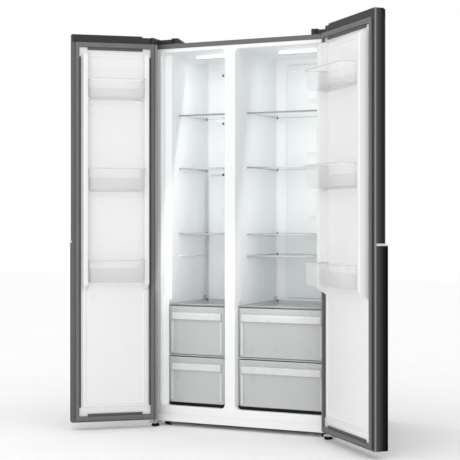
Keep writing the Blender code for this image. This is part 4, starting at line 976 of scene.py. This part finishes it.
def make_gasket(door):
    """Magnetic gasket: a tube round the door, and a darker strip along its inner edge that stops short of the
    corners, a painted shadow of the gap between the gasket and the liner.
    """
    x = (-PIN_INSET + GASKET_INSET, door.edge - GASKET_INSET)
    box = door.local(f"door_gasket_{door.side}")
    z = box[2]
    low, high = box[1]

    def ring(share, height):
        side = GASKET_SIDE_W * share
        a = (x[0] + side, x[1] - side)
        b = (z[0] + GASKET_BOTTOM_W * share, z[1] - GASKET_TOP_W * share)
        return [(p, height, q) for p, q in rounded(a, b, 0.0025, 3)]

    span = high - low
    profile = [(0.04, low), (0.0, low + span * 0.25), (0.0, low + span * 0.80), (0.03, high - 0.0008)]
    profile += [(0.08, high), (0.56, high), (0.62, high - 0.0008), (0.64, low + span * 0.60)]
    profile += [(0.60, low + span * 0.40)]
    profile += [(0.66, low + span * 0.30), (0.66, low)]
    tube = hoop([ring(*point) for point in profile])
    door.piece("gasket_tube", tube, "gasket", (f"door_gasket_{door.side}",), slot="grey_rubber")
    inner_x = (x[0] + GASKET_SIDE_W, x[1] - GASKET_SIDE_W)
    inner_z = (z[0] + GASKET_BOTTOM_W, z[1] - GASKET_TOP_W)
    end = 0.030
    along_x = (inner_x[0] + end, inner_x[1] - end)
    along_z = (inner_z[0] + end, inner_z[1] - end)
    reach = 0.34
    spans = []
    for a, width in zip(inner_x, (-GASKET_SIDE_W, GASKET_SIDE_W)):
        spans.append((sorted((a, a + width * reach)), along_z))
    for b, width in zip(inner_z, (-GASKET_BOTTOM_W, GASKET_TOP_W)):
        spans.append((along_x, sorted((b, b + width * reach))))
    # These darker strips are painted shadow where the gap beside the gasket falls in shade.
    lips = [pillow(rounded(a, b, 0.001, 2), "Y", (low, low + 0.006), 0.001, 2) for a, b in spans]
    door.piece("gasket_shadow_strip", joined(*lips), "gasket_painted_shadow")


def make_liner(door):
    """Moulded inner side: a flange with two dikes, and the panel between them."""
    x, z = door.liner_x, door.liner_z
    flange = pillow(rounded(x, z, 0.004, 3), "Y", (FACE - 0.002, FACE + 0.0002), 0.0006, 2)
    door.piece("liner_sheet", flange, "door_sheet", (f"door_liner_{door.side}",), slot="white_liner")
    for index, span in enumerate(door.dikes):
        out = FACE + DIKE_OUT
        low = FACE - 0.001
        outline = [(low, DIKE_FOOT), (out, DIKE_FOOT + DIKE_SLOPE)]
        outline += arc(out - DIKE_R, door.dike_top - DIKE_R, DIKE_R, 0, 90, 12)
        outline += [(low, door.dike_top)]
        dike = prism(outline, "X", span)
        soften(door.piece(f"liner_dike_{index + 1}", dike, "door_sheet", smooth=40), 0.0045, 4, 50)
    make_panel(door)


def make_panel(door):
    """The raised panel between and below the dikes, its bead, and the bins' ledges and lugs."""
    near, far = door.dikes
    x = (near[0] + 0.002, far[1] - 0.002)
    z = (door.liner_z[0] + 0.059, door.liner_z[1] - 0.050)
    panel = pillow(rounded(x, z, 0.018, 8), "Y", (FACE - 0.001, FACE + 0.0030), 0.0026, 4)
    door.piece("liner_panel", panel, "door_sheet", smooth=60)
    bead_x = (x[0] + 0.010, x[1] - 0.010)
    bead_z = (z[0] + 0.010, z[1] - 0.010)
    width, steps = 0.009, 8
    profile = []
    for i in range(steps + 1):
        profile.append((width * i / steps, 0.0028 + 0.0024 * math.sin(math.pi * i / steps)))
    profile += [(width, 0.0), (0.0, 0.0)]
    bead = hoop([upright_ring(bead_x, bead_z, inset, FACE + out, 0.016, 8) for inset, out in profile])
    door.piece("liner_bead", bead, "door_sheet", smooth=60)
    ledge = ((0.001, 0.004), (0.009, 0.004), (0.0115, 0.0065))
    ledge += ((0.0115, 0.010), (0.006, 0.022), (0.001, 0.034))
    ledges, lugs = [], []
    for level in LEVELS:
        floor = door.local(f"door_bin_{door.side}_{level}")[2][0]
        section = [(FACE + out, floor - drop) for out, drop in ledge]
        ledges.append(prism(section, "X", (near[1] - 0.001, far[0] + 0.001)))
        y = (FACE + DIKE_OUT - 0.034, FACE + DIKE_OUT - 0.010)
        outline = rounded(y, (floor - 0.0063, floor - 0.0003), 0.0015, 3)
        lugs.append(pillow(outline, "X", (near[1] - 0.001, near[1] + 0.007), 0.001, 2))
        lugs.append(pillow(outline, "X", (far[0] - 0.007, far[0] + 0.001), 0.001, 2))
    soften(door.piece("liner_ledges", joined(*ledges), "door_sheet", smooth=60), 0.0015, 3)
    door.piece("liner_lugs", joined(*lugs), "door_sheet")


def make_bin(door, level):
    """Translucent door bin: round front corners, drafted walls and a thicker rim."""
    node = f"door_bin_{door.side}_{level}"
    x, y, z = door.local(node)
    radii = (0.006, 0.006, 0.018, 0.018)

    def ring(height, inset):
        outline = rounded((x[0] + inset, x[1] - inset), (y[0] + min(inset, 0.002), y[1] - inset), radii, 6)
        return [(a, b, height) for a, b in outline]

    draft = 0.004
    floor, brim = z
    walls = [(floor, draft + 0.003), (floor + 0.001, draft + 0.001), (floor + 0.003, draft)]
    walls += [(brim - 0.006, 0.0012), (brim - 0.005, 0.0), (brim - 0.0008, 0.0), (brim, 0.0008)]
    walls += [(brim, BIN_WALL), (brim - 0.007, BIN_WALL + 0.0008), (floor + 0.004, draft + BIN_WALL)]
    walls += [(floor + BIN_WALL, draft + BIN_WALL + 0.002)]
    tray = loft([ring(*step) for step in walls])
    body = f"{door.side}_bin_{level}"
    door.piece(f"bin_{level}_tray", tray, "bin", (node,), body, slot="clear_plastic")
    low, high = brim - 0.0042, brim + 0.0004
    rim = hoop([ring(low, 0.0004), ring(low, -0.0006), ring(high, -0.0006), ring(high, 0.0004)])
    door.piece(f"bin_{level}_rim", rim, "bin_rim", body=body)
    ribs = []
    count = 5
    for i in range(count):
        a = x[0] + 0.030 + (x[1] - x[0] - 0.060) * i / (count - 1)
        rib = rounded((a - 0.0012, a + 0.0012), (y[0] + 0.012, y[1] - 0.014), 0.0008, 2)
        ribs.append(pillow(rib, "Z", (floor + BIN_WALL - 0.0003, floor + BIN_WALL + 0.0012), 0.0005, 2))
    door.piece(f"bin_{level}_ribs", joined(*ribs), "bin", body=body)


def make_edge_trim(door):
    """Crowned strip down the door's free edge, its colour darkening outwards as painted shade, a bead beside
    it in lighter steel as a painted highlight, and the closing cam at the pin.
    """
    crown = 0.0014
    inner = FACE - 0.0085
    axis = door.matrix.to_3x3() @ Vector((0.0, -1.0, 0.0))
    start = axis.dot(door.matrix.translation) - inner
    finish = f"edge_painted_shade_{door.side}"
    # The crown strip's material darkens outwards across the edge: painted shade.
    MATERIALS[finish] = painted_shade_steel(finish, axis, start, inner + FACE)
    shapes = []
    below = (-FACE + 0.0012, door.bottom + 0.0006, GRIP_BOTTOM - 0.006)
    beside = (-FACE + GRIP_DEPTH + 0.0006, GRIP_BOTTOM + 0.004, door.cap_z[1] - 0.0006)
    steps = 8
    foot = door.edge + 0.0001 - crown * 0.2
    for outer, low, high in (below, beside):
        section = [(door.edge - 0.0003, inner)]
        for i in range(steps + 1):
            share = i / steps
            bulge = crown * math.sin(math.pi * (0.08 + 0.84 * share))
            section.append((foot + bulge, inner + (outer - inner) * share))
        section.append((door.edge - 0.0003, outer))
        shapes.append(prism(section, "Z", (low, high)))
    door.piece("edge_crown", joined(*shapes), finish, smooth=60)
    # The bead's lighter steel is a painted highlight along the door's free edge.
    bead = rounded((door.edge - 0.0004, door.edge + 0.0010), (inner + 0.0004, FACE - 0.0012), 0.0006, 3)
    z = (door.bottom + 0.0006, door.cap_z[1] - 0.0006)
    door.piece("edge_bead", pillow(bead, "Z", z, 0.0004, 2), "edge_painted_highlight")
    make_skin_lip(door)
    cam = [*arc(0, 0, 0.0075, 90, 270, 12), *arc(0.034, -0.005, 0.005, 270, 450, 10)]
    cam_z = (door.bottom - 0.0045, door.bottom - 0.0003)
    door.piece("closing_cam", pillow(cam, "Z", cam_z, 0.0008, 2), "bright_grey")


def make_skin_lip(door):
    """Folded edge of the steel skin round the door's inner side, with a lighter steel strip beside the hinge,
    a painted highlight on the skin's edge.
    """
    x = (-PIN_INSET + 0.0006, door.edge - 0.0006)
    z = (door.bottom + 0.0006, door.cap_z[0] - 0.0006)
    width, thick = 0.0172, 0.0007
    profile = ((0.0, 0.0), (0.0, 0.0004), (0.0003, thick), (width, thick), (width, 0.0))
    lip = hoop([upright_ring(x, z, inset, FACE + out, 0.0006) for inset, out in profile])
    door.piece("skin_lip", lip, "lip_steel")
    # The strip's lighter steel is a painted highlight on the skin's edge beside the hinge.
    strip = rounded((-PIN_INSET + 0.0010, -PIN_INSET + 0.0085), (z[0] + 0.001, z[1] - 0.001), 0.0006, 2)
    bright = pillow(strip, "Y", (FACE + 0.0004, FACE + 0.0013), 0.0004, 2)
    door.piece("hinge_edge_strip", bright, "hinge_strip_painted_highlight")


def make_grip(door):
    """Bright sloped ledge at the foot of the finger groove."""
    low = GRIP_BOTTOM - 0.0055
    span = (-FACE - 0.0002, FACE - 0.009)
    outline = [(span[0], low), (span[1], low), (span[1], low + 0.0095), (span[0] + GRIP_DEPTH, low + 0.0095)]
    outline += [(span[0], low + 0.0060)]
    ledge = prism(outline, "X", (door.edge - 0.0004, door.edge + 0.0013))
    door.piece("grip_ledge", ledge, "ledge_steel", bevel=0.0006)


def make_door(door):
    keep(f"door_skin_{door.side}", "dark_steel", 0.0004)
    keep(f"door_foam_{door.side}", "foam")
    keep(f"door_cap_{door.side}", "cap", 0.0010)
    keep(f"bottom_hinge_{door.side}", "zinc")
    make_gasket(door)
    make_liner(door)
    for level in LEVELS:
        make_bin(door, level)
    make_edge_trim(door)
    make_hinge_cover(door)
    make_foot(door.side)


# -------- stage, camera and light


def area_light(name, at, towards, size, power, colour=(1.0, 1.0, 1.0)):
    light = bpy.data.lights.new(name, "AREA")
    light.shape = "RECTANGLE"
    light.size, light.size_y = size
    light.energy = power
    light.color = colour
    made = bpy.data.objects.new(name, light)
    made.location = at
    made.rotation_euler = (Vector(towards) - Vector(at)).to_track_quat("-Z", "Y").to_euler()
    show(made)


def make_stage():
    """Pale floor, a soft light from the front right, and each compartment's lamp and fill light."""
    floor = bmesh.new()
    bmesh.ops.create_grid(floor, x_segments=2, y_segments=2, size=14.0)
    mesh = bpy.data.meshes.new("studio_floor")
    floor.to_mesh(mesh)
    floor.free()
    made = bpy.data.objects.new("studio_floor", mesh)
    made.location.z = -0.0005
    paper = Nodes("studio_paper")
    paper.mottled(paper.noise(even(3.0)), even(0.97), 0.96 / 0.97, 0.98 / 0.97)
    paper.set(roughness=0.9)
    mesh.materials.append(paper.made)
    show(made)
    make_world()
    bpy.context.scene.view_settings.view_transform = "Standard"
    area_light("key", (1.0, -5.2, 1.9), (0.0, 0.0, 0.9), (3.2, 2.4), 50.0)
    for room, fill_power in ((FREEZER, 0.70), (FRIDGE, 1.0)):
        x, y, z = span_of(f"{room.side}_lamp")
        size = (x[1] - x[0], 0.02)
        at = (sum(x) / 2, sum(y) / 2, z[0] - 0.004)
        area_light(f"{room.side}_led", at, (at[0], at[1] + 0.03, 0.5), size, 0.07, (0.95, 0.98, 1.0))
        at = (sum(room.mouth) / 2, FRONT + 0.036, 1.12)
        area_light(f"{room.side}_fill", at, (at[0], room.back, 1.0), (0.22, 1.06), fill_power)


def make_world():
    world = bpy.data.worlds.new("studio")
    world.use_nodes = True
    sky = world.node_tree.nodes["Background"]
    sky.inputs["Color"].default_value = (1.0, 1.0, 1.0, 1.0)
    sky.inputs["Strength"].default_value = 1.0
    bpy.context.scene.world = world


def make_camera():
    """Level, at half height, 25 degrees to the right of the cabinet's front."""
    camera = bpy.data.cameras.new("camera")
    camera.sensor_width = 36.0
    camera.lens = 100.17
    camera.shift_y = -0.0217
    camera.clip_end = 60.0
    made = bpy.data.objects.new("camera", camera)
    made.location = (2.3776, -5.2774, 0.947)
    made.rotation_euler = (math.radians(90), 0.0, math.radians(25.37))
    show(made)
    bpy.context.scene.camera = made


def main():
    make_camera()
    make_shell()
    make_front_frame()
    for room in (FREEZER, FRIDGE):
        make_cavity(room)
        make_drawer_cheeks(room)
        for node in list(frame["nodes"]):
            if node.startswith(f"{room.side}_shelf_"):
                make_shelf(node, node)
        make_shelf(room.cover, f"{room.side}_cover", clips=True)
        make_lamp(room)
        make_sill_strip(room)
        make_divider(room)
        for level in ("upper", "lower"):
            make_drawer(room, level)
    make_rails(FREEZER, extra=(EMPTY_RAIL_TOP,))
    make_rails(FRIDGE)
    make_back_details()
    for side, hand in (("left", 1), ("right", -1)):
        door = Door(side, hand)
        make_door(door)
        make_grip(door)
    for name in [n for n in frame["nodes"] if "_roller_" in n]:
        make_roller(name)
    make_stage()


main()
